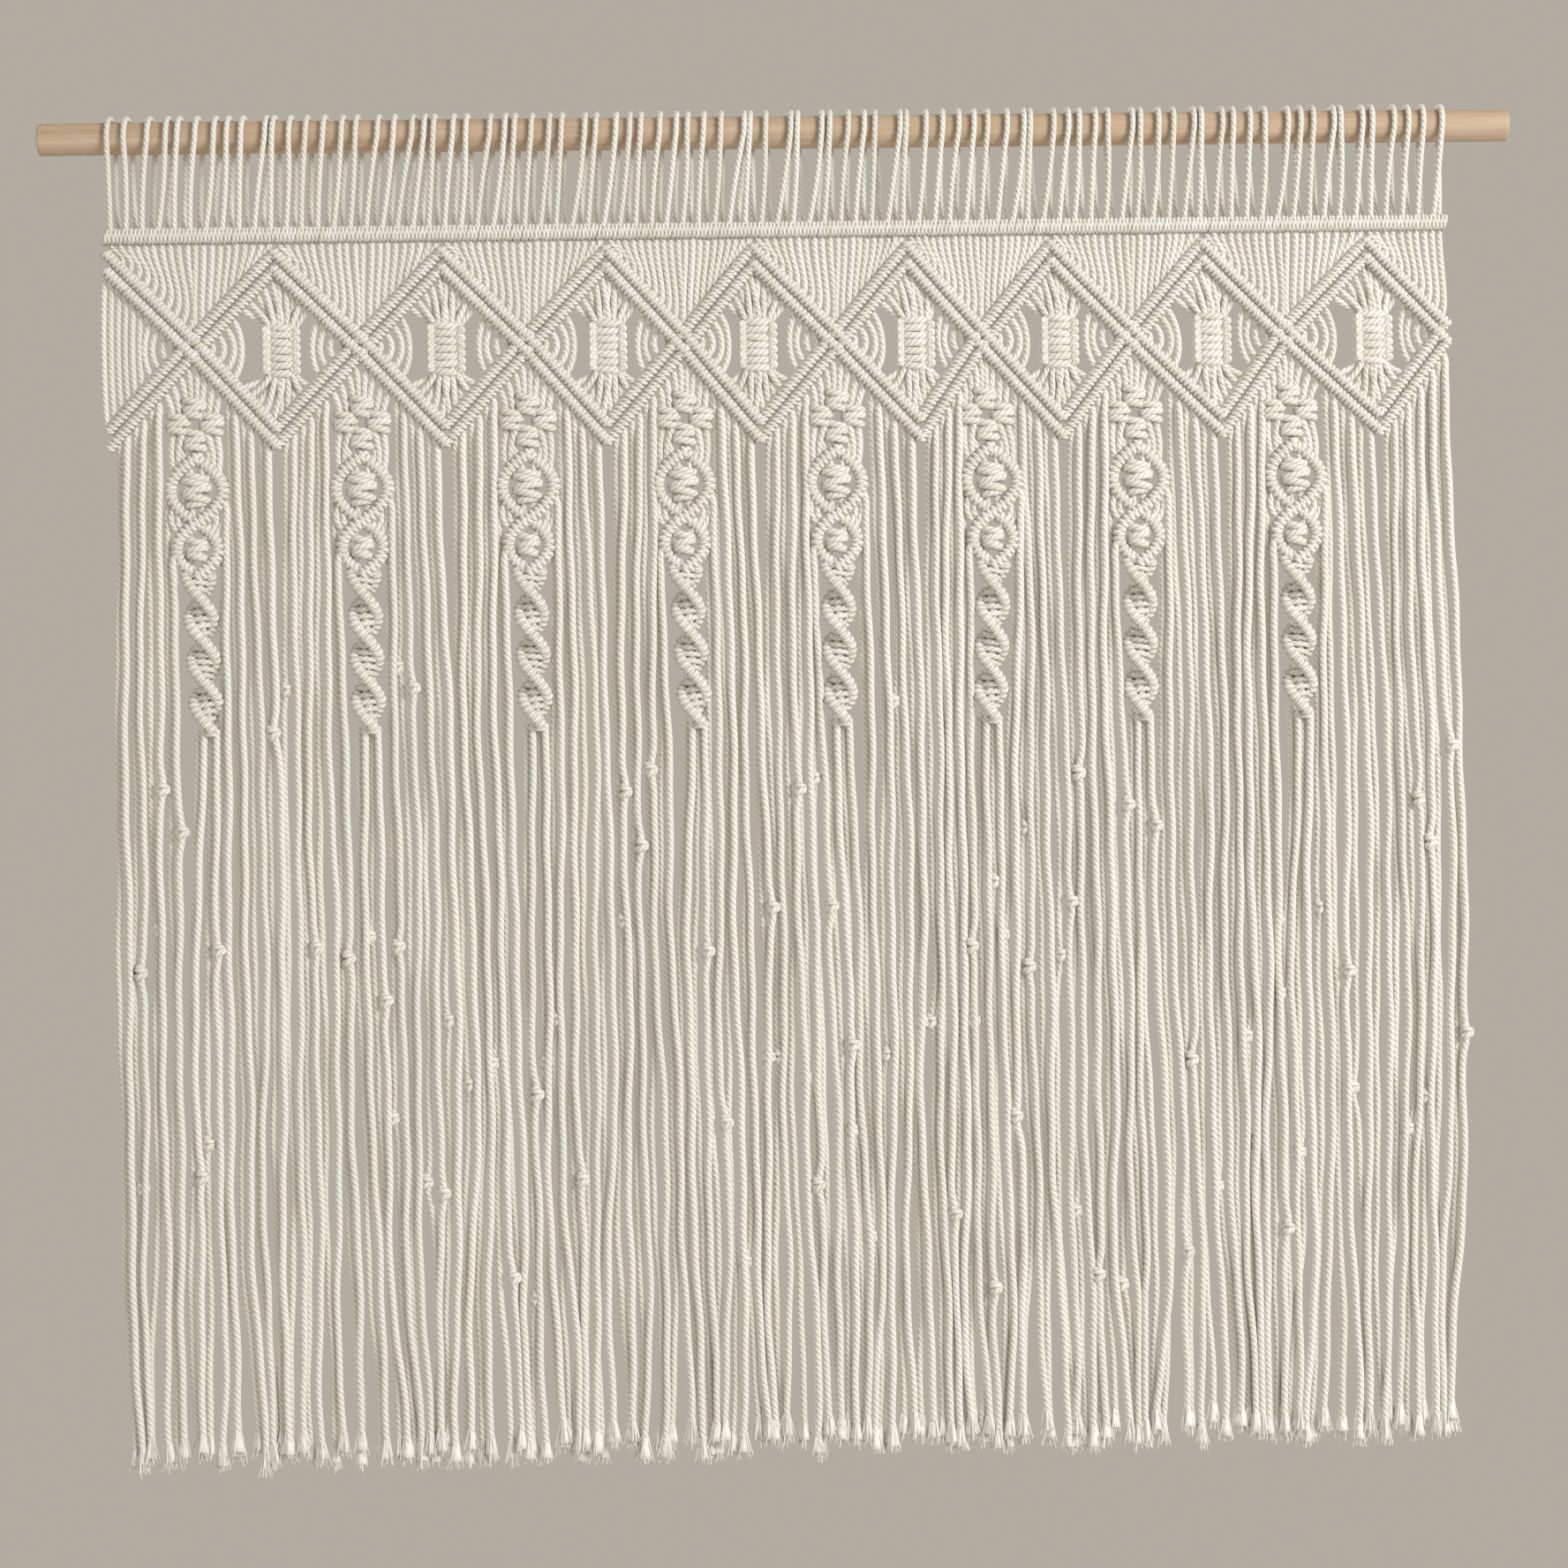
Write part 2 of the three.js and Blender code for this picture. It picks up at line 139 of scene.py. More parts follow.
class NodeBoard:
    """A node tree, with one way of putting a node on it."""

    def __init__(self, tree: bpy.types.NodeTree) -> None:
        """Keeps the tree that the nodes go on."""
        self.tree = tree

    def add(self, kind: str, settings: Optional[dict[str, Any]] = None,
            inputs: Optional[dict[Any, Any]] = None) -> bpy.types.Node:
        """Puts one node on the board.

        Args:
            kind: The node's type.
            settings: Its properties, set first. "stops" fills a ramp, "captures" names what a capture holds.
            inputs: Values or links by the name or number of the socket.

        Returns:
            The new node.
        """
        node = self.tree.nodes.new(kind)
        for name, setting in (settings or {}).items():
            if name == "stops":
                self._fill_ramp(node.color_ramp, setting)
            elif name == "captures":
                for label in setting:
                    node.capture_items.new("FLOAT", label)
            else:
                setattr(node, name, setting)
        self.connect(node, inputs or {})
        return node

    def connect(self, node: bpy.types.Node, inputs: dict[Any, Any]) -> None:
        """Feeds sockets of a node, each by its name or number."""
        for key, given in inputs.items():
            self.feed(node.inputs[key], given)

    def feed(self, socket: bpy.types.NodeSocket, given: Any) -> None:
        """Links a socket to what is given, or sets its own value.

        Args:
            socket: The input that is fed.
            given: A Value, an output, a node for its first output, a list of these, or a plain value.
        """
        if isinstance(given, list):
            for one in given:
                self.feed(socket, one)
        elif isinstance(given, Value):
            self.tree.links.new(given.socket, socket)
        elif isinstance(given, bpy.types.Node):
            self.tree.links.new(given.outputs[0], socket)
        elif isinstance(given, bpy.types.NodeSocket):
            self.tree.links.new(given, socket)
        else:
            socket.default_value = given

    def value(self, kind: str, settings: Optional[dict[str, Any]] = None,
              inputs: Optional[dict[Any, Any]] = None, output: Union[int, str] = 0) -> Value:
        """Puts one node on the board and takes the number at one of its outputs."""
        return Value(self, self.add(kind, settings, inputs).outputs[output])

    def math(self, operation: str, *terms: Number) -> Value:
        """Adds one Math node on terms in order."""
        return self.value("ShaderNodeMath", {"operation": operation}, dict(enumerate(terms)))

    def place(self) -> bpy.types.NodeSocket:
        """Where a point of the piece lies."""
        return self.add("ShaderNodeTexCoord").outputs["Object"]

    def noise(self, place: Any, scale: float, detail: float, roughness: float = 0.5) -> Value:
        """The number of a noise texture at a scale."""
        return self.value("ShaderNodeTexNoise", None, {"Vector": place, "Scale": scale, "Detail": detail,
                                                       "Roughness": roughness}, "Fac")

    def mark(self, mark: Mark, output: str) -> bpy.types.NodeSocket:
        """What a cord carries on its points, at one output of the node that reads it."""
        settings = {"attribute_type": "GEOMETRY", "attribute_name": mark.value}
        return self.add("ShaderNodeAttribute", settings).outputs[output]

    def mix(self, factor: Number, first: Any, second: Any) -> bpy.types.NodeSocket:
        """Mixes two colours, each given as three numbers, an output or a node.

        Args:
            factor: The share of the second colour.
            first: The first colour.
            second: The second colour.

        Returns:
            The mixed colour.
        """
        colours = [(*colour, 1.0) if isinstance(colour, tuple) else colour for colour in (first, second)]
        inputs = {0: factor, 6: colours[0], 7: colours[1]}
        return self.add("ShaderNodeMix", {"data_type": "RGBA"}, inputs).outputs[2]

    @staticmethod
    def _fill_ramp(ramp: bpy.types.ColorRamp, stops: Sequence[tuple[float, Colour]]) -> None:
        """Sets a ramp's stops, each a position and a colour.

        Args:
            ramp: The ramp.
            stops: Its stops in order.
        """
        while len(ramp.elements) < len(stops):
            ramp.elements.new(1.0)
        for element, (position, colour) in zip(ramp.elements, stops):
            element.position = position
            element.color = (*colour, 1.0)


class Finish:
    """A material made from nodes."""

    name = "finish"

    def material(self) -> bpy.types.Material:
        """Makes the material.

        Returns:
            The material, with its shader linked.
        """
        made = bpy.data.materials.new(self.name)
        made.use_nodes = True
        made.node_tree.nodes.clear()
        board = NodeBoard(made.node_tree)
        shader = board.add("ShaderNodeBsdfPrincipled")
        self.dress(board, shader)
        board.add("ShaderNodeOutputMaterial", None, {"Surface": shader})
        return made

    def dress(self, board: NodeBoard, shader: bpy.types.Node) -> None:
        """Feeds the shader.

        Args:
            board: The material's nodes.
            shader: Its principled shader.
        """
        raise NotImplementedError


@dataclass(frozen=True)
class CottonCord(Finish):
    """Natural cotton of three plies, twisted: paler on the plies, with painted shade darkening the grooves between
    them, and a soft nap.
    """

    name: str = "natural cotton cord"
    cream: Colour = (0.87, 0.872, 0.848)
    ecru: Colour = (0.755, 0.733, 0.672)
    # The colour of the painted shade in the grooves between the plies.
    groove_shade: Colour = (0.44, 0.39, 0.32)
    plies: int = 3
    lay_length: float = 0.0135
    yarns: int = 5
    yarn_length: float = 0.0026
    nap_scale: float = 2600.0
    nap_detail: float = 3.0
    blotch_scale: float = 9.0
    blotch_detail: float = 2.0
    tone_share: float = 0.7
    blotch_share: float = 0.4
    groove_shade_power: float = 2.2
    groove_shade_share: float = 0.66
    relief: float = 0.0006
    relief_strength: float = 0.85
    yarn_relief: float = 0.12
    nap_relief: float = 0.28
    roughness: float = 0.96
    nap_gloss: float = 0.12
    specular: float = 0.18
    sheen: float = 0.22
    sheen_roughness: float = 0.55
    sheen_tint: Colour = (1.0, 0.97, 0.9)

    def dress(self, board: NodeBoard, shader: bpy.types.Node) -> None:
        """Feeds the shader from the cord's own lay and tone.

        Args:
            board: The material's nodes.
            shader: Its principled shader.
        """
        lay = board.add("ShaderNodeSeparateXYZ", None, {0: board.mark(Mark.LAY, "Vector")})
        across, out, run = (Value(board, socket) for socket in lay.outputs)
        angle = board.math("ARCTAN2", out, across)
        turned = angle + run * (2 * math.pi / self.lay_length)
        ply = abs((turned * (self.plies / 2)).sin())
        yarn = (angle * self.yarns - run * (2 * math.pi / self.yarn_length)).sin() * 0.5 + 0.5
        place = board.place()
        nap = board.noise(place, self.nap_scale, self.nap_detail)
        blotch = board.noise(place, self.blotch_scale, self.blotch_detail)
        tone = Value(board, board.mark(Mark.TONE, "Fac"))
        warmth = board.math("MINIMUM", tone * self.tone_share + blotch * self.blotch_share, 1.0)
        body = board.mix(warmth, self.cream, self.ecru)
        height = ply + yarn * self.yarn_relief + nap * self.nap_relief
        # The base colour mixes in painted shade where the grooves between the plies lie.
        board.connect(shader, {
            "Base Color": board.mix((1 - ply) ** self.groove_shade_power * self.groove_shade_share, body, self.groove_shade),
            "Roughness": self.roughness - nap * self.nap_gloss,
            "Normal": board.add("ShaderNodeBump", None, {"Strength": self.relief_strength, "Distance": self.relief,
                                                         "Height": height}),
            "Specular IOR Level": self.specular, "Sheen Weight": self.sheen,
            "Sheen Roughness": self.sheen_roughness, "Sheen Tint": (*self.sheen_tint, 1.0)})


@dataclass(frozen=True)
class PaleWood(Finish):
    """A pale dowel, lightly sanded: long grain, growth bands and fine dark pores."""

    name: str = "pale sanded wood"
    light: Colour = (0.62, 0.49, 0.37)
    honey: Colour = (0.46, 0.335, 0.23)
    dark: Colour = (0.3, 0.2, 0.13)
    honey_stop: float = 0.3
    light_stop: float = 0.72
    stretch: float = 0.035
    grain_scale: float = 140.0
    grain_detail: float = 5.0
    grain_roughness: float = 0.62
    grain_share: float = 0.7
    band_scale: float = 75.0
    band_bend: float = 2.6
    band_detail: float = 2.0
    band_detail_scale: float = 1.4
    pore_scale: float = 1260.0
    pore_detail: float = 2.0
    pore_limit: float = 0.6
    pore_gain: float = 3.2
    pore_most: float = 0.5
    pore_blend: float = 0.1
    relief: float = 0.00025
    relief_strength: float = 0.5
    grain_relief: float = 0.6
    roughness: float = 0.58
    pore_roughness: float = 0.25
    specular: float = 0.35

    def dress(self, board: NodeBoard, shader: bpy.types.Node) -> None:
        """Feeds the shader with grain that runs along the rod.

        Args:
            board: The material's nodes.
            shader: Its principled shader.
        """
        long_way = board.add("ShaderNodeMapping", None, {"Vector": board.place(), "Scale": (self.stretch, 1.0, 1.0)})
        grain = board.noise(long_way, self.grain_scale, self.grain_detail, self.grain_roughness)
        pores = board.noise(long_way, self.pore_scale, self.pore_detail)
        bands = board.value("ShaderNodeTexWave", {"wave_type": "RINGS", "rings_direction": "X"},
                            {"Vector": long_way, "Scale": self.band_scale, "Distortion": self.band_bend,
                             "Detail": self.band_detail, "Detail Scale": self.band_detail_scale}, "Fac")
        stops = ((self.honey_stop, self.honey), (self.light_stop, self.light))
        ramp = board.add("ShaderNodeValToRGB", {"stops": stops},
                         {0: grain * self.grain_share + bands * (1 - self.grain_share)})
        fleck = board.math("SMOOTH_MIN", board.math("MAXIMUM", pores - self.pore_limit, 0.0) * self.pore_gain,
                           self.pore_most, self.pore_blend)
        board.connect(shader, {
            "Base Color": board.mix(fleck, ramp, self.dark),
            "Roughness": self.roughness + fleck * self.pore_roughness,
            "Normal": board.add("ShaderNodeBump", None, {"Strength": self.relief_strength, "Distance": self.relief,
                                                         "Height": grain * self.grain_relief - fleck}),
            "Specular IOR Level": self.specular})


@dataclass(frozen=True)
class PaleFloor(Finish):
    """A plain pale floor, hardly mottled."""

    name: str = "pale floor"
    light: Colour = (0.74, 0.71, 0.66)
    shade: Colour = (0.68, 0.65, 0.6)
    mottle_scale: float = 1.4
    mottle_detail: float = 3.0
    roughness: float = 0.9

    def dress(self, board: NodeBoard, shader: bpy.types.Node) -> None:
        """Feeds the shader with a faint mottle.

        Args:
            board: The material's nodes.
            shader: Its principled shader.
        """
        mottle = board.noise(board.place(), self.mottle_scale, self.mottle_detail)
        board.connect(shader, {"Base Color": board.mix(mottle, self.light, self.shade), "Roughness": self.roughness})


@dataclass
class Cord:
    """One length of cord: the points that it follows, half its thickness, all along or at each, and its tone."""

    points: Points
    radius: Union[float, Points] = 2.3
    tone: float = 0.5


@dataclass(frozen=True)
class Wrap:
    """Cord wound round a path, ring after ring, in outer sizes across the path and from front to back.

    The rings of a group slant one way and those of the next the other. Each turns on from the last.
    """

    half_width: float
    half_depth: float
    thick: float
    wide: float
    pitch: float
    slant: float = 0.0
    turn: float = 0.0
    group: int = 100000
    segments: int = 10
    sides: int = 6


@dataclass(frozen=True)
class Fray:
    """The brushed-out end of a cord: its fibres, their spread and flare, and the dense bell inside them."""

    fibres: int = 20
    length: float = 18.5
    thick: float = 0.92
    spread: float = 2.2
    flare: float = 0.18
    bend: float = 0.06
    bell: float = 4.6


def at(x: float, z: float, y: float = 0.0) -> Points:
    """A point by its place along the rod, its height and its depth."""
    return np.array((x, y, z), float)


def bend(start: Points, leave: Points, end: Points, arrive: Points, count: int) -> Points:
    """Follows a cord that leaves one point along a vector and arrives at another along a second one.

    Args:
        start: Where it begins.
        leave: The way it sets out, as long as it stays straight.
        end: Where it ends.
        arrive: The way it comes in.
        count: How many points are wanted.

    Returns:
        The points, one a row.
    """
    t = np.linspace(0.0, 1.0, count)[:, None]
    first, second = start + leave, end - arrive
    return (1 - t) ** 3 * start + 3 * (1 - t) ** 2 * t * first + 3 * (1 - t) * t ** 2 * second + t ** 3 * end


def smooth(share: Union[float, Points]) -> Points:
    """Eases a share from 0 to 1 at both ends."""
    held = np.clip(share, 0.0, 1.0)
    return held * held * (3 - 2 * held)


def wire_of(cords: Sequence[Cord]) -> bpy.types.Mesh:
    """Makes a mesh of bare edges along cords.

    Args:
        cords: The cords.

    Returns:
        The mesh, in metres, with each cord's radius and tone on its points.
    """
    edges: list[tuple[int, int]] = []
    first = 0
    for cord in cords:
        count = len(cord.points)
        edges.extend((first + i, first + i + 1) for i in range(count - 1))
        first += count
    mesh = bpy.data.meshes.new("wire")
    mesh.from_pydata((np.concatenate([cord.points for cord in cords]) * MM).tolist(), edges, [])
    columns = ((Mark.RADIUS, [np.ones(len(c.points)) * c.radius * MM for c in cords]),
               (Mark.TONE, [np.full(len(c.points), c.tone) for c in cords]))
    for mark, values in columns:
        attribute = mesh.attributes.new(mark.value, "FLOAT", "POINT")
        attribute.data.foreach_set("value", np.concatenate(values).astype(np.float32))
    return mesh


class WorkTree:
    """A Geometry Nodes tree with named inputs. It is run on a bare wire and gives a plain mesh."""

    no_lay = (-1.0, 0.0, 0.0)

    def __init__(self, name: str, inputs: Sequence[tuple[str, str]]) -> None:
        """Makes the tree and its inputs.

        Args:
            name: What the tree makes.
            inputs: Each input's name and kind of socket, after the geometry.
        """
        self.tree = bpy.data.node_groups.new(name, "GeometryNodeTree")
        self.board = NodeBoard(self.tree)
        face = self.tree.interface
        face.new_socket("Geometry", in_out="INPUT", socket_type="NodeSocketGeometry")
        face.new_socket("Geometry", in_out="OUTPUT", socket_type="NodeSocketGeometry")
        self.sockets = {label: face.new_socket(label, in_out="INPUT", socket_type=kind).identifier
                        for label, kind in (*inputs, ("Material", "NodeSocketMaterial"))}
        self.source = self.board.add("NodeGroupInput")

    def given(self, name: str) -> Value:
        """One of the tree's inputs, for expressions."""
        return Value(self.board, self.source.outputs[name])

    def vector(self, x: Number, y: Number, z: Number) -> bpy.types.Node:
        """A vector of three numbers."""
        return self.board.add("ShaderNodeCombineXYZ", None, {0: x, 1: y, 2: z})

    def scatter(self, low: Number, high: Number, seed: int) -> Value:
        """A random number for each element, with a fixed seed."""
        return self.board.value("FunctionNodeRandomValue", {"data_type": "FLOAT"},
                                {2: low, 3: high, "Seed": seed}, 1)

    def circle(self, sides: Number) -> bpy.types.Node:
        """A circle 1 in radius."""
        return self.board.add("GeometryNodeCurvePrimitiveCircle", {"mode": "RADIUS"},
                              {"Resolution": sides, "Radius": 1.0})

    def moved(self, geometry: Any, offset: Any) -> bpy.types.Node:
        """Geometry with each of its points moved."""
        return self.board.add("GeometryNodeSetPosition", None, {"Geometry": geometry, "Offset": offset})

    def copies(self, points: Any, shape: Any, turn: Any, scale: Any) -> bpy.types.Node:
        """A copy of a shape on each point."""
        return self.board.add("GeometryNodeInstanceOnPoints", None,
                              {"Points": points, "Instance": shape, "Rotation": turn, "Scale": scale})

    def marked(self, geometry: Any, mark: Mark, value: Any, domain: str = "POINT") -> bpy.types.Node:
        """Geometry that carries a mark for the finish."""
        kind = "FLOAT_VECTOR" if mark is Mark.LAY else "FLOAT"
        return self.board.add("GeometryNodeStoreNamedAttribute", {"data_type": kind, "domain": domain},
                              {"Geometry": geometry, "Name": mark.value, "Value": value})

    def close(self, geometry: Any) -> None:
        """Ends the tree: realized, smooth and in the material given.

        Args:
            geometry: What the tree has made.
        """
        plain = self.board.add("GeometryNodeRealizeInstances", None, {"Geometry": geometry})
        even = self.board.add("GeometryNodeSetShadeSmooth", None, {"Geometry": plain})
        dressed = self.board.add("GeometryNodeSetMaterial", None,
                                 {"Geometry": even, "Material": self.source.outputs["Material"]})
        self.board.add("NodeGroupOutput", None, {0: dressed})

    def tube(self, path: Any, profile: Any, scale: Number, capped: bool, twisted: bool = True) -> bpy.types.Node:
        """Sweeps a profile along curves and marks the lay of the cord on the result.

        Args:
            path: The curves.
            profile: The closed profile.
            scale: The profile's scale along the path.
            capped: Whether the ends are closed.
            twisted: Whether it is twisted cord, or else loose fibre with no lay.

        Returns:
            The mesh.
        """
        along = self.board.add("GeometryNodeSplineParameter")
        held = self.board.add("GeometryNodeCaptureAttribute", {"captures": ("run",)},
                              {0: path, 1: along.outputs["Length"]})
        round_way = self.board.add("GeometryNodeCaptureAttribute", {"captures": ("round",)},
                                   {0: profile, 1: along.outputs["Factor"]})
        swept = self.board.add("GeometryNodeCurveToMesh", None,
                               {"Curve": held, "Profile Curve": round_way, "Scale": scale, "Fill Caps": capped})
        angle = Value(self.board, round_way.outputs[1]) * (2 * math.pi)
        lay = self.vector(angle.cos(), angle.sin(), Value(self.board, held.outputs[1])) if twisted else self.no_lay
        return self.marked(swept, Mark.LAY, lay)

    def run(self, wire: bpy.types.Mesh, values: dict[str, Any]) -> bpy.types.Mesh:
        """Runs the tree on a wire, which is used up.

        Args:
            wire: The bare edges or points.
            values: The tree's inputs by name.

        Returns:
            A plain mesh.
        """
        carrier = bpy.data.objects.new("carrier", wire)
        bpy.context.scene.collection.objects.link(carrier)
        modifier = carrier.modifiers.new("work", "NODES")
        modifier.node_group = self.tree
        for name, given in values.items():
            modifier[self.sockets[name]] = given
        graph = bpy.context.evaluated_depsgraph_get()
        mesh = bpy.data.meshes.new_from_object(carrier.evaluated_get(graph), preserve_all_data_layers=True,
                                               depsgraph=graph)
        carrier.modifiers.remove(modifier)
        bpy.data.objects.remove(carrier)
        bpy.data.meshes.remove(wire)
        return mesh


class CordTree(WorkTree):
    """Sweeps a round cord along each wire."""

    sides = 8

    def __init__(self) -> None:
        """Builds the tree."""
        super().__init__("cord along a wire", (("Sides", "NodeSocketInt"),))
        curve = self.board.add("GeometryNodeMeshToCurve", None, {"Mesh": self.source})
        radius = self.board.value("GeometryNodeInputNamedAttribute", {"data_type": "FLOAT"},
                                  {"Name": Mark.RADIUS.value})
        self.close(self.tube(curve, self.circle(self.given("Sides")), radius, True))

    def make(self, cords: Sequence[Cord], material: bpy.types.Material) -> bpy.types.Mesh:
        """Makes one mesh of cords in a finish."""
        return self.run(wire_of(cords), {"Sides": self.sides, "Material": material})


class WrapTree(WorkTree):
    """Winds rings of cord round each wire."""

    sizes = ("Half width", "Half depth", "Thick", "Wide", "Pitch", "Slant", "Turn")
    counts = ("Group", "Segments", "Sides")
    sway = 0.06
    tilt = 0.05
    least_scale, most_scale = 0.95, 1.04

    def __init__(self) -> None:
        """Builds the tree."""
        super().__init__("cord wound round a wire", (*((name, "NodeSocketFloat") for name in self.sizes),
                                                     *((name, "NodeSocketInt") for name in self.counts)))
        board = self.board
        wire = board.add("GeometryNodeMeshToCurve", None, {"Mesh": self.source})
        path = board.add("GeometryNodeResampleCurve", {"mode": "LENGTH"},
                         {"Curve": wire, "Length": self.given("Pitch")})
        facing = board.add("FunctionNodeAxesToRotation", {"primary_axis": "Z", "secondary_axis": "Y"}, {
            "Primary Axis": board.add("GeometryNodeInputTangent"), "Secondary Axis": (0.0, 1.0, 0.0)})
        rank = board.value("GeometryNodeSplineParameter", None, None, "Index")
        side = 1 - 2 * board.math("MODULO", (rank / self.given("Group")).floor(), 2.0)
        lean = self.given("Slant") * side + self.scatter(-self.sway, self.sway, seed=3)
        local = board.add("FunctionNodeEulerToRotation", None, {
            0: self.vector(self.scatter(-self.tilt, self.tilt, seed=5), lean, rank * self.given("Turn"))})
        turned = board.add("FunctionNodeRotateRotation", {"rotation_space": "LOCAL"},
                           {"Rotation": facing, "Rotate By": local})
        scale = self.vector(*(self.scatter(self.least_scale, self.most_scale, seed) for seed in (7, 8, 9)))
        rings = self.copies(path, self._ring(), turned, scale)
        self.close(self.marked(rings, Mark.TONE, self.scatter(0.0, 1.0, seed=11), "INSTANCE"))

    def _ring(self) -> bpy.types.Node:
        """One ring of cord, flat in its own plane.

        Returns:
            Its mesh.
        """
        thick, wide = self.given("Thick"), self.given("Wide")
        reach = self.vector(self.given("Half width") - thick, self.given("Half depth") - thick, 1.0)
        ring = self.board.add("GeometryNodeTransform", None,
                              {"Geometry": self.circle(self.given("Segments")), "Scale": reach})
        upright = self.board.add("GeometryNodeSetCurveNormal", {"mode": "Z_UP"}, {"Curve": ring})
        profile = self.board.add("GeometryNodeTransform", None, {
            "Geometry": self.circle(self.given("Sides")), "Scale": self.vector(thick, wide, 1.0)})
        return self.tube(upright, profile, 1.0, False)

    def make(self, paths: Sequence[Points], wrap: Wrap, material: bpy.types.Material) -> bpy.types.Mesh:
        """Makes the rings' mesh.

        Args:
            paths: The points that each winding follows.
            wrap: Its sizes.
            material: Its finish.

        Returns:
            One mesh of all the rings.
        """
        sizes = (wrap.half_width * MM, wrap.half_depth * MM, wrap.thick * MM, wrap.wide * MM, wrap.pitch * MM,
                 math.radians(wrap.slant), math.radians(wrap.turn))
        values: dict[str, Any] = dict(zip(self.sizes, sizes))
        values.update(zip(self.counts, (wrap.group, wrap.segments, wrap.sides)))
        return self.run(wire_of([Cord(path) for path in paths]), {**values, "Material": material})


class FrayTree(WorkTree):
    """Brushes out each point into a tuft of fibres that hang down."""

    sizes = ("Length", "Thick", "Spread", "Bell", "Flare", "Bend")
    root_stray = 0.002
    lean_stray = 0.06
    shortest, longest = 0.8, 1.08
    most_tone = 0.6
    fibre_points, fibre_sides = 4, 3
    root_thick, tip_loss = 1.1, 0.6
    bell_share = 0.8
    bell_sides, bell_rows = 9, 3
    bell_shortest, bell_longest = 0.85, 1.05
    bell_rough = 0.0006

    def __init__(self) -> None:
        """Builds the tree."""
        super().__init__("brushed-out ends", (("Fibres", "NodeSocketInt"),
                                              *((name, "NodeSocketFloat") for name in self.sizes)))
        board = self.board
        points = board.add("GeometryNodeMeshToPoints", None, {"Mesh": self.source})
        many = board.add("GeometryNodeDuplicateElements", {"domain": "POINT"},
                         {"Geometry": points, "Amount": self.given("Fibres")})
        reach = self.scatter(0.0, 1.0, seed=2) ** 0.5
        round_way = self.scatter(0.0, 2 * math.pi, seed=4)
        spread = reach * self.given("Spread")
        apart = self.moved(many, self.vector(round_way.sin() * spread * -1, round_way.cos() * spread,
                                             self.scatter(-self.root_stray, self.root_stray, seed=5)))
        lean = reach * self.given("Flare") + self.scatter(-self.lean_stray, self.lean_stray, seed=1)
        facing = board.add("FunctionNodeEulerToRotation", None, {0: self.vector(lean + math.pi, 0.0, round_way)})
        tufts = self.copies(apart, self._fibre(), facing,
                            self.vector(1.0, 1.0, self.scatter(self.shortest, self.longest, seed=6)))
        toned = self.marked(tufts, Mark.TONE, self.scatter(0.0, self.most_tone, seed=8), "INSTANCE")
        bells = self.copies(points, self._bell(), self.vector(0.0, 0.0, self.scatter(0.0, 2 * math.pi, seed=10)),
                            self.vector(1.0, 1.0, self.scatter(self.bell_shortest, self.bell_longest, seed=9)))
        self.close(board.add("GeometryNodeJoinGeometry", None, {0: [toned, bells]}))

    def _bell(self) -> bpy.types.Node:
        """The dense middle of a tuft, which widens downwards.

        Returns:
            Its mesh.
        """
        length = self.given("Length") * self.bell_share
        cone = self.board.add("GeometryNodeMeshCone", {"fill_type": "NGON"}, {
            "Vertices": self.bell_sides, "Side Segments": self.bell_rows, "Radius Top": self.given("Spread"),
            "Radius Bottom": self.given("Bell"), "Depth": length})
        stray = (self.scatter(-self.bell_rough, self.bell_rough, seed) for seed in (12, 13, 14))
        hung = self.board.add("GeometryNodeTransform", None, {
            "Geometry": self.moved(cone, self.vector(*stray)), "Translation": self.vector(0.0, 0.0, length * -1)})
        return self.marked(hung, Mark.LAY, self.no_lay)

    def _fibre(self) -> bpy.types.Node:
        """One fibre along Z that thins and bends towards its tip.

        Returns:
            Its mesh.
        """
        length = self.given("Length")
        line = self.board.add("GeometryNodeCurvePrimitiveLine", {"mode": "POINTS"},
                              {"Start": (0.0, 0.0, 0.0), "End": self.vector(0.0, 0.0, length)})
        steps = self.board.add("GeometryNodeResampleCurve", {"mode": "COUNT"},
                               {"Curve": line, "Count": self.fibre_points})
        share = self.board.value("GeometryNodeSplineParameter", None, None, "Factor")
        bent = self.moved(steps, self.vector(0.0, share * share * length * self.given("Bend") * -1, 0.0))
        thick = self.given("Thick") * (self.root_thick - share * self.tip_loss)
        return self.tube(bent, self.circle(self.fibre_sides), thick, True, False)

    def make(self, ends: Points, fray: Fray, material: bpy.types.Material) -> bpy.types.Mesh:
        """Makes the tufts' mesh.

        Args:
            ends: The points where cords end, one a row.
            fray: The tufts' sizes.
            material: Their finish.

        Returns:
            One mesh of all the tufts.
        """
        dots = bpy.data.meshes.new("ends")
        dots.from_pydata((ends * MM).tolist(), [], [])
        sizes = (fray.length * MM, fray.thick * MM, fray.spread * MM, fray.bell * MM, fray.flare, fray.bend)
        return self.run(dots, {**dict(zip(self.sizes, sizes)), "Fibres": fray.fibres, "Material": material})


@dataclass
class Workshop:
    """The three ways in which cord is worked, and its finish."""

    cotton: bpy.types.Material
    cords: CordTree = field(default_factory=CordTree)
    wraps: WrapTree = field(default_factory=WrapTree)
    frays: FrayTree = field(default_factory=FrayTree)

    def cord(self, cords: Sequence[Cord]) -> bpy.types.Mesh:
        """Cords as one mesh."""
        return self.cords.make(cords, self.cotton)

    def wrap(self, paths: Sequence[Points], wrap: Wrap) -> bpy.types.Mesh:
        """Windings as one mesh."""
        return self.wraps.make(paths, wrap, self.cotton)

    def fray(self, ends: Points, fray: Fray) -> bpy.types.Mesh:
        """Tufts as one mesh."""
        return self.frays.make(ends, fray, self.cotton)


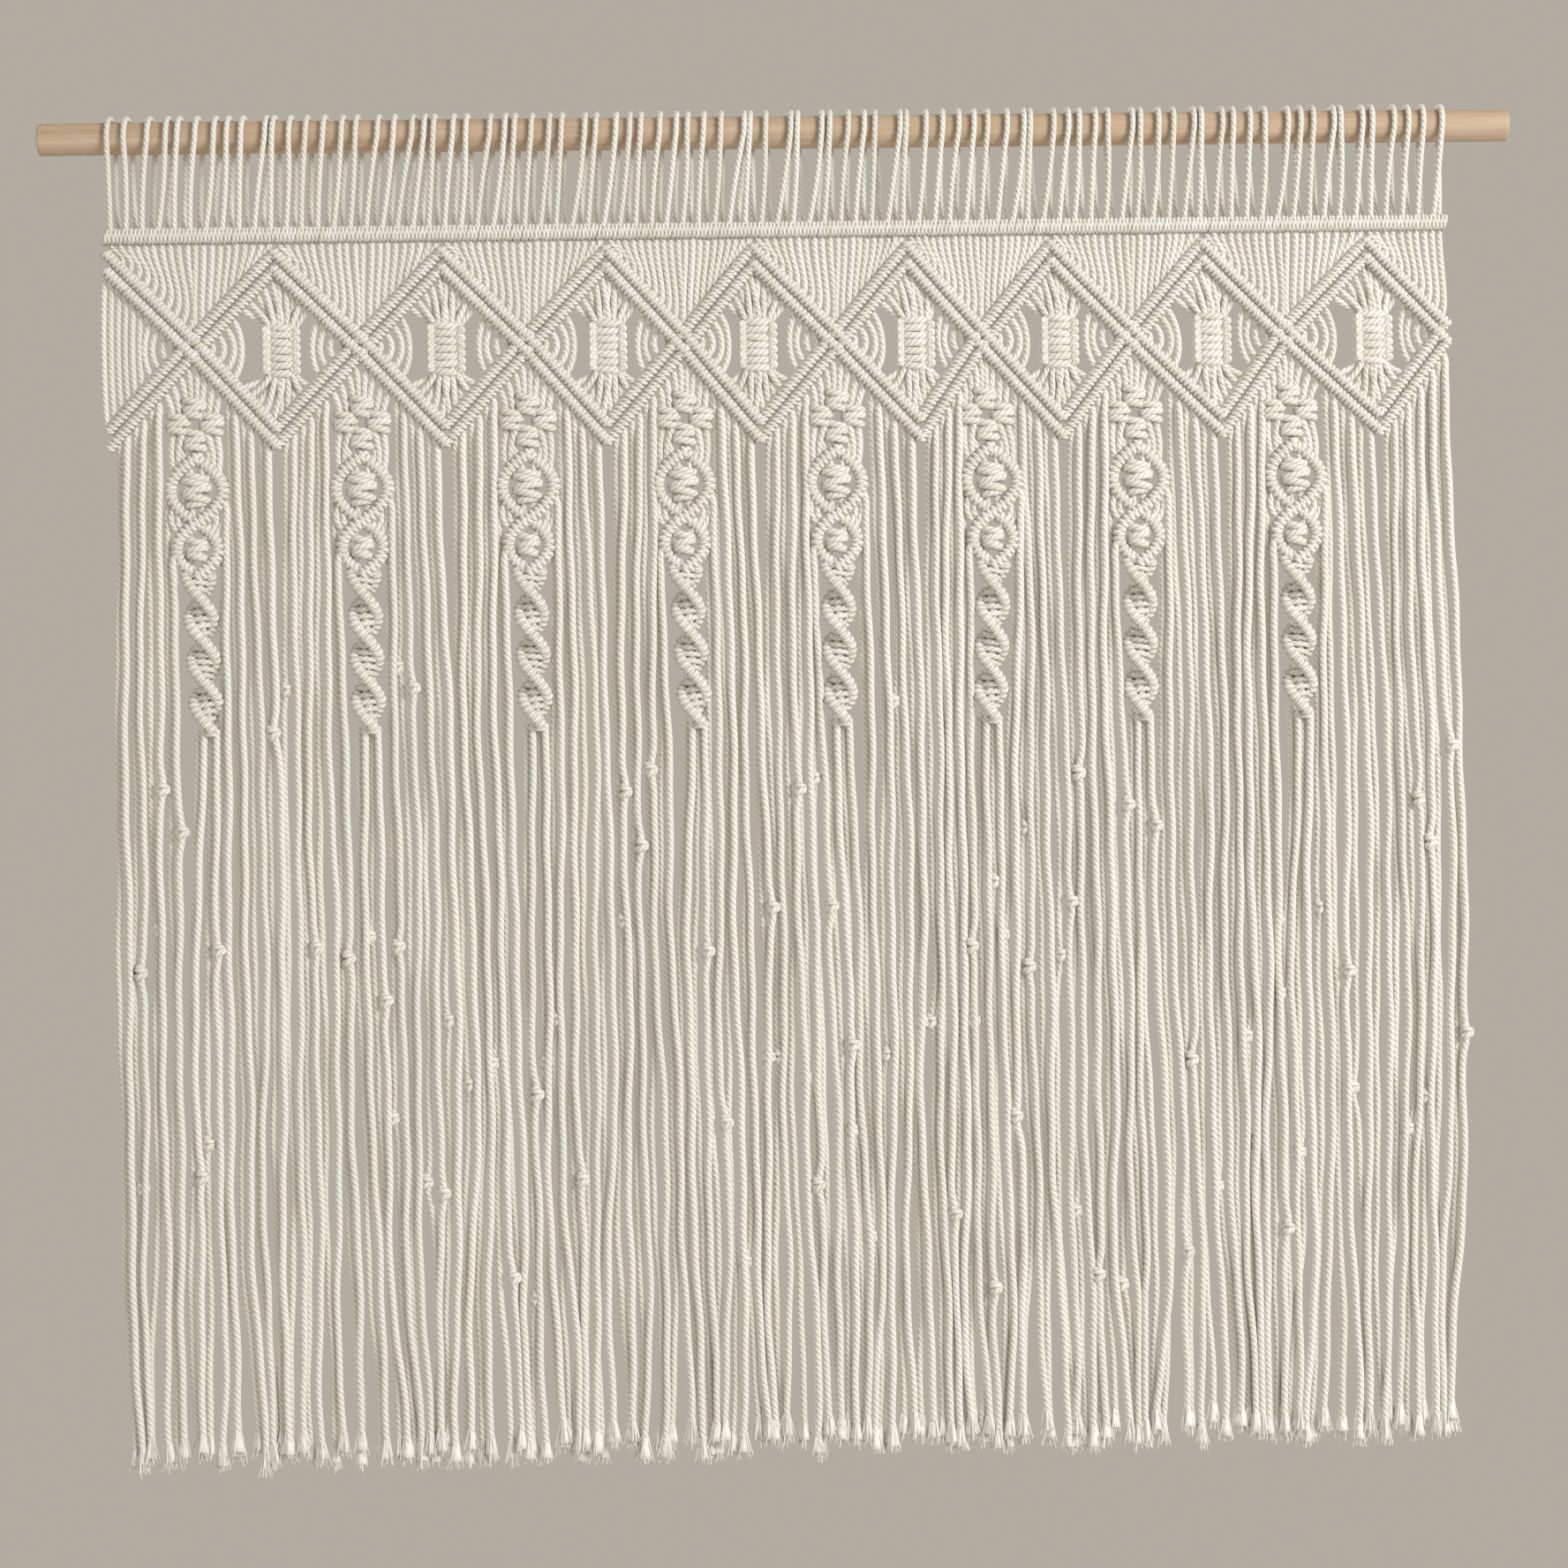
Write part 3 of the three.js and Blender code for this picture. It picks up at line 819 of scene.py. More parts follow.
def piece(name: str, node: str, *meshes: bpy.types.Mesh, slot: Slot = Slot.COTTON) -> bpy.types.Object:
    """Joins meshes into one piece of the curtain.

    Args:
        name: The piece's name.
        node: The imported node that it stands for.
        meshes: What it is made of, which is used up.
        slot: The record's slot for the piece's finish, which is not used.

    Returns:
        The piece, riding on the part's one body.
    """
    objects = [bpy.data.objects.new(name, mesh) for mesh in meshes]
    for obj in objects:
        bpy.context.scene.collection.objects.link(obj)
    made = objects[0]
    if len(objects) > 1:
        with bpy.context.temp_override(active_object=made, object=made, selected_objects=objects,
                                       selected_editable_objects=objects):
            bpy.ops.object.join()
    made.data.name = name
    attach(made, BODY)
    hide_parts(node)
    return made


@dataclass(frozen=True)
class Diamond:
    """Where one diamond was tied: its left crossing, ends and middle, and the drift of the column below."""

    crossing: float
    apex: float
    knot: float
    bottom: float
    ring: float
    tip: float


@dataclass(frozen=True)
class Diagonal:
    """One diagonal of a half diamond, from its crossing to its apex or its bottom."""

    start: Points
    end: Points
    steps: int = 9
    pass_power: int = 3

    @property
    def along(self) -> Points:
        """The way from the crossing to the far end."""
        step = self.end - self.start
        return step / np.linalg.norm(step)

    @property
    def out(self) -> Points:
        """The way from the middle of the diamond, square to the diagonal.

        Returns:
            A vector 1 mm long.
        """
        along = self.along
        sign = np.sign(self.end[2] - self.start[2]) * np.sign(along[0])
        return at(-along[2] * sign, along[0] * sign)

    @property
    def is_falling(self) -> bool:
        """Whether it falls from left to right, and so passes in front of those that rise."""
        return (self.end[2] - self.start[2]) * (self.end[0] - self.start[0]) < 0

    def place(self, fraction: float, across: float = 0.0) -> Points:
        """The point at a fraction of the diagonal, moved away from the middle of the diamond."""
        return self.start + (self.end - self.start) * fraction + self.out * across

    def row(self, across: float, depth: float, pass_depth: float) -> Points:
        """The middle of a row of hitches beside the diagonal, from left to right.

        Args:
            across: How far it lies from the diagonal, away from the middle of the diamond.
            depth: Its place from front to back.
            pass_depth: How much further back its ends lie, where it passes another row.

        Returns:
            Its points.
        """
        shift = self.out[0] * across
        first, last = -shift / self.along[0], (self.end[0] - self.start[0] - shift) / self.along[0]
        points = []
        for share in np.linspace(0, 1, self.steps):
            pushed = depth + pass_depth * abs(2 * share - 1) ** self.pass_power
            points.append(self.start + self.along * (first + (last - first) * share) + self.out * across
                          + at(0, 0, pushed))
        return np.array(sorted(points, key=lambda point: point[0]))


@dataclass(frozen=True)
class Half:
    """One half of a diamond, beside a crossing. The first has no centre knot, the last no column."""

    crossing: float
    apex: float
    knot: Optional[float]
    is_open: bool
    upper: Diagonal
    lower: Diagonal

    @property
    def side(self) -> int:
        """1 where the half lies to the right of its crossing, or else -1."""
        return 1 if self.apex > self.crossing else -1

    def is_front(self, rank: int) -> bool:
        """Whether a loose cord, by its rank from the crossing, hangs in the front layer."""
        return (rank + (self.side > 0)) % 2 == 0


@dataclass
class Layout:
    """Where the curtain was tied, and what its knots share."""

    left: float = -500.0
    right: float = 500.0
    hem: float = -984.0
    hem_sway: float = 8.0
    apex_level: float = -92.5
    crossing_level: float = -156.0
    bottom_level: float = -223.0
    bar_level: float = -73.0
    bar_half: float = 6.75
    row_width: float = 8.8
    row_bite: float = 2.4
    row_depth: float = -1.8
    row_over: float = -1.0
    row_under: float = 1.3
    cords_per_half: int = 10
    column_cords: int = 4
    cord: float = 2.35
    fringe_cord: float = 2.65
    diamonds: tuple[Diamond, ...] = (
        Diamond(-438, -377, -373, -377, 1, 6), Diamond(-314, -253, -251, -252, -1, 1),
        Diamond(-191, -131, -131, -132, -1, 2), Diamond(-74, -21, -19, -18, -2, 4),
        Diamond(40, 94, 99, 102, -2, -2), Diamond(149, 202, 207, 209, 6, 1),
        Diamond(262, 316, 322, 329, 3, 2), Diamond(378, 440, 444, 448, 6, 7))
    hitches: Wrap = Wrap(half_width=4.75, half_depth=5.7, thick=1.4, wide=1.95, pitch=3.55, slant=13)
    core: float = 3.2
    # The darker tone of the cores inside windings: painted shade for the hollows between the rings.
    core_shade_tone: float = 0.9

    @property
    def row_edge(self) -> float:
        """How far from a diagonal a strand ends inside the row beside it."""
        return self.row_width - self.row_bite

    def halves(self) -> list[Half]:
        """The halves of the diamonds from left to right.

        Returns:
            The halves, the first cut off by the curtain's left edge.
        """
        rows = [(self.diamonds[0].crossing, self.left, self.left, None, False)]
        for index, row in enumerate(self.diamonds):
            is_last = index == len(self.diamonds) - 1
            beyond = self.right if is_last else self.diamonds[index + 1].crossing
            rows.append((row.crossing, row.apex, row.bottom, row.knot, False))
            rows.append((beyond, row.apex, row.bottom, row.knot, is_last))
        made = []
        for crossing, apex, bottom, knot, is_open in rows:
            start = at(crossing, self.crossing_level)
            made.append(Half(crossing, apex, knot, is_open, Diagonal(start, at(apex, self.apex_level)),
                             Diagonal(start, at(bottom, self.bottom_level))))
        return made

    def hem_place(self, half: Half, rank: int) -> float:
        """Where a loose cord hangs along the rod, by its rank from the crossing of its half."""
        return half.lower.place((rank + 0.5) / self.cords_per_half)[0]

    def carriers(self, paths: Sequence[Points], radius: float) -> list[Cord]:
        """The cords inside rows of hitches, toned darker: painted shade for the hollows between the hitches."""
        return [Cord(path, radius, self.core_shade_tone) for path in paths]

    def hitch_rows(self, diagonals: Sequence[tuple[Diagonal, int]], shop: Workshop) -> list[bpy.types.Mesh]:
        """Rows of clove hitches beside diagonals, each round its carrier cord.

        Args:
            diagonals: Each diagonal, with 1 for the row on its outer side or -1 for the inner.
            shop: Where cord is worked.

        Returns:
            The hitches and the carriers.
        """
        meshes = []
        for is_falling, passing, slant in ((True, self.row_over, 1), (False, self.row_under, -1)):
            paths = [diagonal.row(sign * self.row_width / 2, self.row_depth, passing)
                     for diagonal, sign in diagonals if diagonal.is_falling == is_falling]
            meshes.append(shop.wrap(paths, replace(self.hitches, slant=slant * self.hitches.slant)))
            meshes.append(shop.cord(self.carriers(paths, self.core)))
        return meshes


@dataclass
class Rod:
    """The plain wooden dowel."""

    length: float = 1098.0
    radius: float = 12.0
    ease: float = 1.4
    ease_steps: int = 5
    face_inset: float = 3.5
    body_inset: float = 4.2
    sides: int = 56
    rings: int = 61
    wander: float = 0.12
    wander_waves: tuple[tuple[float, float], ...] = ((0.011, 0.0), (0.029, 1.0))

    def build(self, wood: bpy.types.Material) -> list[bpy.types.Object]:
        """Turns the dowel.

        Args:
            wood: Its finish.

        Returns:
            The one piece.
        """
        shell = bmesh.new()
        rows = []
        for x, radius in self._profile():
            angles = (2 * math.pi * i / self.sides for i in range(self.sides))
            rows.append([shell.verts.new((x * MM, radius * math.cos(a) * MM, radius * math.sin(a) * MM))
                         for a in angles])
        for first, second in zip(rows, rows[1:]):
            for i in range(self.sides):
                j = (i + 1) % self.sides
                shell.faces.new((first[i], first[j], second[j], second[i]))
        shell.faces.new(rows[0])
        shell.faces.new(list(reversed(rows[-1])))
        bmesh.ops.recalc_face_normals(shell, faces=shell.faces)
        for face in shell.faces:
            face.smooth = len(face.verts) == 4
        mesh = bpy.data.meshes.new("wooden_rod")
        shell.to_mesh(mesh)
        shell.free()
        mesh.materials.append(wood)
        return [piece("wooden_rod", "rod", mesh, slot=Slot.WOOD)]

    def _profile(self) -> list[tuple[float, float]]:
        """The dowel's outline from right to left.

        Returns:
            Places along the rod, each with the radius there.
        """
        half = self.length / 2
        eased = [(half - self.ease * (1 - math.sin(a)), self.radius - self.ease * (1 - math.cos(a)))
                 for a in np.linspace(math.pi / 2, 0, self.ease_steps)]
        right = [(half, self.radius - self.face_inset), *eased]
        inner = half - self.body_inset
        middle = [(x, self.radius + self.wander * sum(math.sin(x * rate + start) for rate, start in self.wander_waves)
                   / len(self.wander_waves)) for x in np.linspace(inner, -inner, self.rings)]
        return [*right, *middle, *((-x, radius) for x, radius in reversed(right))]


@dataclass
class Heading:
    """The cords folded over the rod, and the straight bar of hitches that they run into."""

    layout: Layout
    rod_radius: float
    seed: int = 11
    loops: int = 85
    cord: float = 2.15
    clear: float = 0.4
    lean: float = 4.0
    drag: float = 6.8
    drag_bias: float = 0.55
    slew: float = 1.2
    start_angle: float = -9.0
    arc_steps: int = 12
    leg_steps: int = 8
    leg_bow: float = 1.3
    leg_out: float = 0.7
    foot_bite: float = 2.5
    foot_depth: float = 3.0
    foot_stray: float = 0.5
    bar_depth: float = -0.9
    hitches: Wrap = Wrap(half_width=7.2, half_depth=6.2, thick=1.7, wide=1.66, pitch=2.94, slant=17)
    core: float = 4.0

    def build(self, shop: Workshop) -> list[bpy.types.Object]:
        """Ties the heading.

        Args:
            shop: Where cord is worked.

        Returns:
            The loops and the bar.
        """
        layout = self.layout
        chance = np.random.default_rng(self.seed)
        pitch = (layout.right - layout.left) / self.loops
        cords = [self._loop(layout.left + (i + 0.5) * pitch, pitch, chance) for i in range(self.loops)]
        bar = np.array([at(x, layout.bar_level, self.bar_depth) for x in (layout.left, layout.right)])
        return [piece("cord_loops", "heading", shop.cord(cords)),
                piece("straight_hitches", "heading", shop.wrap([bar], self.hitches),
                      shop.cord(layout.carriers([bar], self.core)))]

    def _loop(self, x: float, pitch: float, chance: np.random.Generator) -> Cord:
        """One cord from the bar, over the rod and back to the bar.

        Args:
            x: Its middle along the rod.
            pitch: From one loop to the next.
            chance: Where its unevenness comes from.

        Returns:
            The cord.
        """
        layout = self.layout
        reach = self.rod_radius + self.clear + self.cord
        along = (x - layout.left) / (layout.right - layout.left)
        top = x + chance.uniform(-1, 1) * self.lean + self.drag * math.sin(math.pi * along ** self.drag_bias)
        foot = layout.bar_level + layout.bar_half - self.foot_bite
        angles = np.radians(np.linspace(self.start_angle, 180 - self.start_angle, self.arc_steps + 1))
        slews = np.linspace(-self.slew, self.slew, len(angles))
        arc = np.array([at(top + slew, reach * math.sin(a), -reach * math.cos(a)) for slew, a in zip(slews, angles)])
        legs = []
        for sign, end in ((-1, arc[0]), (1, arc[-1])):
            stray = chance.uniform(-self.foot_stray, self.foot_stray)
            start = at(x + sign * pitch / 4 + stray, foot, sign * self.foot_depth)
            share = np.linspace(0, 1, self.leg_steps)[:-1, None]
            bow = np.sin(math.pi * share) * at(chance.uniform(-self.leg_bow, self.leg_bow), 0, sign * self.leg_out)
            legs.append(start + (end - start) * share + bow)
        return Cord(np.concatenate([legs[0], arc, legs[1][::-1]]), self.cord, chance.uniform())


@dataclass
class Lattice:
    """The row of diamonds: strands, double rows of hitches and the centre knots."""

    layout: Layout
    seed: int = 23
    set_back: float = 0.9
    least_points: int = 6
    stray: float = 0.5
    bar_bite: float = 2.2
    upper_depths: tuple[float, float] = (-1.2, 0.4)
    upper_step: float = 7.0
    first_entry: float = 0.08
    entry_span: float = 0.88
    least_drop: float = 2.0
    drop_ease: float = 0.45
    swing: float = 9.0
    right_swing: float = 5.85
    edge_swing: float = 17.0
    near_swing: float = 4.5
    drop_swing: float = 0.4
    swing_out: float = 0.85
    swing_down: float = 0.2
    inner_depths: tuple[float, float] = (-0.6, 1.2)
    inner_step: float = 6.0
    first_arc: float = 0.13
    arc_step: float = 0.09
    arc_count: int = 4
    arc_pull: float = 12.0
    arc_share: float = 0.42
    edge_pull: float = 5.0
    first_fan: float = 0.52
    fan_step: float = 0.085
    fan_half: float = 10.8
    fan_inset: float = 0.4
    fan_gather: float = 7.0
    fan_spread: float = 4.0
    fan_layer: float = 2.6
    fan_leave: float = 5.0
    fan_drop: float = 6.0
    fan_points: int = 9
    knot_top: float = -142.0
    knot_bottom: float = -176.2
    knot_wrap: Wrap = Wrap(half_width=12.0, half_depth=7.2, thick=2.1, wide=3.0, pitch=5.55, slant=3, group=1,
                           segments=16, sides=7)
    pearls: int = 6
    pearl_starts: tuple[tuple[int, float], ...] = ((-1, 0.4), (1, 0.6))
    pearl_root: float = 9.2
    pearl_half: float = 1.9
    pearl_depth: float = -3.4
    pearl_reach: float = 4.9
    pearl_front: float = -1.6
    pearl_dip: float = -0.9
    pearl_points: int = 8

    def build(self, shop: Workshop) -> list[bpy.types.Object]:
        """Ties the diamonds.

        Args:
            shop: Where cord is worked.

        Returns:
            The strands, the rows of hitches and the centre knots.
        """
        chance = np.random.default_rng(self.seed)
        halves = self.layout.halves()
        strands = [cord for half in halves for cord in (*self._upper(half, chance), *self._inner(half, chance))]
        rows = [pair for half in halves for pair in ((half.upper, 1), (half.upper, -1), (half.lower, -1))]
        knots = [row.knot for row in self.layout.diamonds]
        stacks = [np.array([at(x, self.knot_top), at(x, self.knot_bottom)]) for x in knots]
        pearls = [cord for x in knots for cord in self._pearls(x, chance)]
        return [piece("diamond_strands", "lattice", shop.cord(strands)),
                piece("diamond_hitches", "lattice", *self.layout.hitch_rows(rows, shop)),
                piece("centre_knots", "lattice", shop.wrap(stacks, self.knot_wrap), shop.cord(pearls))]

    def _upper(self, half: Half, chance: np.random.Generator) -> list[Cord]:
        """The strands from the straight bar down to a half's upper rows.

        Args:
            half: The half diamond.
            chance: Where their unevenness comes from.

        Returns:
            The cords.
        """
        layout = self.layout
        back = at(0, 0, self.set_back)
        swing = self.edge_swing if half.knot is None else self.right_swing if half.side > 0 else self.swing
        cords = []
        for rank in range(layout.cords_per_half):
            share = (rank + 0.5) / layout.cords_per_half
            x = half.crossing + (half.apex - half.crossing) * share + chance.uniform(-self.stray, self.stray)
            start = at(x, layout.bar_level - layout.bar_half + self.bar_bite, chance.uniform(*self.upper_depths)) + back
            end = half.upper.place(self.first_entry + self.entry_span * share, layout.row_edge) + back
            drop = max(start[2] - end[2], self.least_drop)
            arrive = -half.upper.out * self.swing_out + at(0, -self.swing_down)
            points = bend(start, at(0, -self.drop_ease * drop), end,
                          arrive * min(swing, self.near_swing + self.drop_swing * drop),
                          self.least_points + int(drop / self.upper_step))
            cords.append(Cord(points, layout.cord, chance.uniform()))
        return cords

    def _inner(self, half: Half, chance: np.random.Generator) -> list[Cord]:
        """The strands inside a half: bows beside the crossing, and a fan into the centre knot and out of it.

        Args:
            half: The half diamond.
            chance: Where their unevenness comes from.

        Returns:
            The cords.
        """
        layout = self.layout
        back = at(0, 0, self.set_back)
        cords = []
        for rank in range(layout.cords_per_half):
            is_arc = rank < self.arc_count
            fraction = (self.first_arc + self.arc_step * rank if is_arc
                        else self.first_fan + self.fan_step * (rank - self.arc_count))
            above, below = (line.place(fraction, -layout.row_edge) + back for line in (half.upper, half.lower))
            tone = chance.uniform()
            depth = at(0, 0, chance.uniform(*self.inner_depths))
            height = above[2] - below[2]
            if half.knot is None or is_arc:
                pull = min(self.arc_share * height, self.arc_pull) if is_arc else self.edge_pull
                points = bend(above + depth, -half.upper.out * pull, below + depth, half.lower.out * pull,
                              self.least_points + int(height / self.inner_step))
            else:
                points = self._fan(half, rank, above, below, depth)
            cords.append(Cord(points, layout.cord, tone))
        return cords

    def _fan(self, half: Half, rank: int, above: Points, below: Points, depth: Points) -> Points:
        """The way of a strand from an upper row through the centre knot to the lower row.

        Args:
            half: The half diamond.
            rank: The strand's rank from the crossing.
            above: Where it leaves the upper row.
            below: Where it enters the lower row.
            depth: How far it is set back.

        Returns:
            Its points.
        """
        count = self.layout.cords_per_half
        outer = (count - rank - self.fan_inset) / (count - self.arc_count)
        x = half.knot - half.side * self.fan_half * outer
        reach = self.fan_gather * (1 - outer)
        inwards = at(half.side * self.fan_spread * outer, 0)
        down = at(0, -self.fan_drop)
        depth = depth + at(0, 0, self.fan_layer * (-1 if rank % 2 else 1))
        enter, leave = (at(x, z) + depth for z in (self.knot_top + reach, self.knot_bottom - reach))
        return np.concatenate([
            bend(above, -half.upper.out * self.fan_leave, enter, inwards + down, self.fan_points),
            bend(leave, down - inwards, below, half.lower.out * self.fan_leave, self.fan_points)])

    def _pearls(self, x: float, chance: np.random.Generator) -> list[Cord]:
        """The turns of the working cords at both sides of a centre knot.

        Args:
            x: The knot's middle.
            chance: Where their unevenness comes from.

        Returns:
            Short cords.
        """
        cords = []
        height = self.knot_top - self.knot_bottom
        dip = at(0, self.pearl_dip)
        for side, first in self.pearl_starts:
            reach = at(side * self.pearl_reach, 0, self.pearl_front)
            for rank in range(self.pearls):
                z = self.knot_top - height * (rank + first) / self.pearls
                top, foot = (at(x + side * self.pearl_root, z + sign * self.pearl_half, self.pearl_depth)
                             for sign in (1, -1))
                points = bend(top, reach + dip, foot, -reach + dip, self.pearl_points)
                cords.append(Cord(points, self.layout.cord, chance.uniform()))
        return cords


@dataclass
class Hanger:
    """One loose cord: where it starts, the way it sets out, its place at the hem, its layer and its knot."""

    root: Points
    leave: Points
    hem_x: float
    front: bool
    owner: str
    knot: Optional[float] = None


@dataclass(frozen=True)
class Wave:
    """A sway of the loose cords: its reach, its lengths along the rod and down, its start, and its lag at the hem."""

    reach: float
    along: float = math.inf
    down: float = math.inf
    start: float = 0.0
    lag: float = 0.0

    def sway(self, x: float, levels: Union[float, Points] = 0.0, share: Union[float, Points] = 0.0,
             phase: float = 0.0) -> Points:
        """How far it moves a cord, by the cord's place along the rod, at levels and shares of its fall."""
        return self.reach * np.sin(x / self.along + levels / self.down + self.start + self.lag * share + phase)


@dataclass
class Curtainfall:
    """The loose cords as they hang side by side in two layers, clumped and swaying, each clear of the next."""

    layout: Layout
    seed: int = 37
    step: float = 8.0
    clear: float = 4.9
    part_rounds: int = 14
    depth: float = 2.5
    depth_wave: Wave = Wave(0.6, down=1 / 0.021)
    depth_phase: float = 6.0
    head: float = 14.0
    head_ease: float = 0.45
    head_points: int = 6
    settle: float = 210.0
    drifts: tuple[Wave, ...] = (Wave(3.4, 44, start=0.6, lag=1.2), Wave(2.0, 19, 95, 2.0), Wave(1.4, 8.5, -60))
    drift_power: float = 0.9
    edge_power: int = 6
    own_waves: tuple[Wave, ...] = (Wave(1.5, down=90), Wave(1.2, down=34))
    own_power: float = 0.5
    ripple: Wave = Wave(0.45, down=13)
    ripple_settle: float = 60.0
    stray: float = 0.8
    right_bulge: float = 9.0
    right_from: float = 380.0
    right_span: float = 120.0
    bulge_rate: float = 1.08
    left_draw: float = 6.5
    left_from: float = 390.0
    left_span: float = 110.0
    gathers: tuple[Wave, ...] = (Wave(5.0, 17, start=1.0), Wave(3.0, 7.3))
    hem_from: float = 0.74
    hem_lean: float = 0.5
    hem_pull: float = 170.0
    hem_stray: float = 2.8
    hem_lift: float = 2.0
    brush: float = 16.0
    tail_gap: float = 2.0
    tail_shares: tuple[float, ...] = (1, 0.66, 0.33, 0)
    taper: tuple[float, ...] = (1.02, 0.85, 0.45)
    uneven: tuple[float, float] = (0.94, 1.06)
    tone_span: float = 0.55
    # How much further towards ecru the back layer is toned: painted shade for the front layer's shadow.
    back_shade_tone: float = 0.45
    kink: float = 2.6
    kink_length: float = 11.0

    def hang(self, hangers: Sequence[Hanger]) -> list[Cord]:
        """Lets the cords hang.

        Args:
            hangers: All the loose cords from left to right.

        Returns:
            A cord for each, in the same order.
        """
        layout = self.layout
        chance = np.random.default_rng(self.seed)
        top = max(hanger.root[2] for hanger in hangers)
        levels = np.arange(top, layout.hem - self.step, -self.step)
        places = np.array([self._sway(hanger, levels, chance) for hanger in hangers])
        active = np.array([levels < hanger.root[2] - self.head for hanger in hangers])
        self._part(places, active, np.array([hanger.front for hanger in hangers]))
        cords = []
        for row, shown, hanger in zip(places, active, hangers):
            hem = layout.hem + chance.uniform(-1, 1) * layout.hem_sway + self.hem_lift
            keep = shown & (levels > hem + self.brush + self.tail_gap)
            depth = (self.depth * (-1 if hanger.front else 1)
                     + self.depth_wave.sway(0.0, levels, phase=chance.uniform(0, self.depth_phase)))
            line = np.column_stack([row, depth, levels])[keep]
            fall = at(0, (line[0] - hanger.root)[2] * self.head_ease)
            head = bend(hanger.root, hanger.leave, line[0], fall, self.head_points)[:-1]
            slope = (line[-1] - line[-2]) / self.step
            tail = [line[-1] + slope * (line[-1][2] - hem - self.brush * share) for share in self.tail_shares]
            points = np.concatenate([head, line, np.array(tail)])
            radius = np.full(len(points), layout.fringe_cord * chance.uniform(*self.uneven))
            radius[-len(self.taper):] *= np.array(self.taper)
            # Back-layer cords are toned darker: painted shade standing in for the front layer's shadow on them.
            tone = self.tone_span * chance.uniform() + (0.0 if hanger.front else self.back_shade_tone)
            cords.append(Cord(points, radius, tone))
        return cords

    def brushed(self, cord: Cord) -> Points:
        """The point of a loose cord that hangs here where it is brushed out."""
        return cord.points[-len(self.tail_shares)]

    def _sway(self, hanger: Hanger, levels: Points, chance: np.random.Generator) -> Points:
        """A loose cord's place along the rod at each level, before neighbours part it.

        Args:
            hanger: The cord.
            levels: The heights.
            chance: Where its unevenness comes from.

        Returns:
            One place for each level.
        """
        x = hanger.hem_x
        fallen = hanger.root[2] - levels
        share = np.clip(fallen / (hanger.root[2] - self.layout.hem), 0, 1)
        settled = smooth(fallen / self.settle)
        start = hanger.root[0] + hanger.leave[0] * self.head_ease
        inner = 1 - (x / self.layout.right) ** self.edge_power
        drift = share ** self.drift_power * inner * sum(wave.sway(x, levels, share) for wave in self.drifts)
        *phases, last_phase = chance.uniform(0, 2 * math.pi, len(self.own_waves) + 1)
        own = sum(wave.sway(0.0, levels, phase=phase) for wave, phase in zip(self.own_waves, phases))
        ripple = self.ripple.sway(0.0, levels, phase=last_phase) * smooth(fallen / self.ripple_settle)
        stray = chance.normal(0, self.stray) * settled
        gather = inner * sum(wave.sway(x) for wave in self.gathers)
        lean = self.hem_lean - x / self.hem_pull + gather + chance.normal(0, self.hem_stray)
        place = (start + (x - start) * settled + drift + self._edge(x, share) + share ** self.own_power * own + ripple
                 + lean * smooth((share - self.hem_from) / (1 - self.hem_from)) + stray)
        if hanger.knot is not None:
            side = 1 if chance.uniform() < 0.5 else -1
            place = place + side * self.kink * np.exp(-((levels - hanger.knot) / self.kink_length) ** 2)
        return place

    def _edge(self, x: float, share: Points) -> Points:
        """How far the outermost cords bulge at the curtain's right edge and draw out at its left.

        Args:
            x: The cord's place along the rod.
            share: Its share of the fall at each level.

        Returns:
            A move along the rod for each level.
        """
        bulge = np.sin(math.pi * np.clip(share * self.bulge_rate, 0, 1)) ** 2
        return (self.right_bulge * smooth((x - self.right_from) / self.right_span) * bulge
                - self.left_draw * smooth((-x - self.left_from) / self.left_span) * share)

    def _part(self, places: Points, active: Points, front: Points) -> None:
        """Moves cords of one layer apart where they would overlap.

        Args:
            places: Each cord's place at each level, changed here.
            active: Whether the cord hangs at that level.
            front: Whether the cord hangs in the front layer.
        """
        for layer in (True, False):
            for level in range(places.shape[1]):
                ranks = np.flatnonzero(active[:, level] & (front == layer))
                line = places[ranks, level]
                for _ in range(self.part_rounds):
                    short = np.maximum(self.clear - np.diff(line), 0) / 2
                    line[:-1] -= short
                    line[1:] += short
                places[ranks, level] = line


class Level(Enum):
    """The heights in a column that its short and loose cords are placed from."""

    TOP_KNOT = "top knot"
    SIDE_KNOTS = "side knots"
    LOW_KNOT = "low knot"
    RING_TOP = "top of the ring"
    RING = "middle of the ring"
    SECOND = "middle of the second ring"
    SPIRAL_END = "end of the spiral"


@dataclass(frozen=True)
class Spot:
    """A place in a column: its level, and how far out of the middle, above the level and to the back it lies."""

    level: Level
    out: float
    up: float
    back: float = 0.0


@dataclass(frozen=True)
class Link:
    """A short cord between two places in a column, and how far it bows outwards."""

    start: Spot
    end: Spot
    bow: float = 0.0


@dataclass(frozen=True)
class Root:
    """Where a loose cord leaves a column, and how far out and down it sets out."""

    spot: Spot
    out: float
    down: float


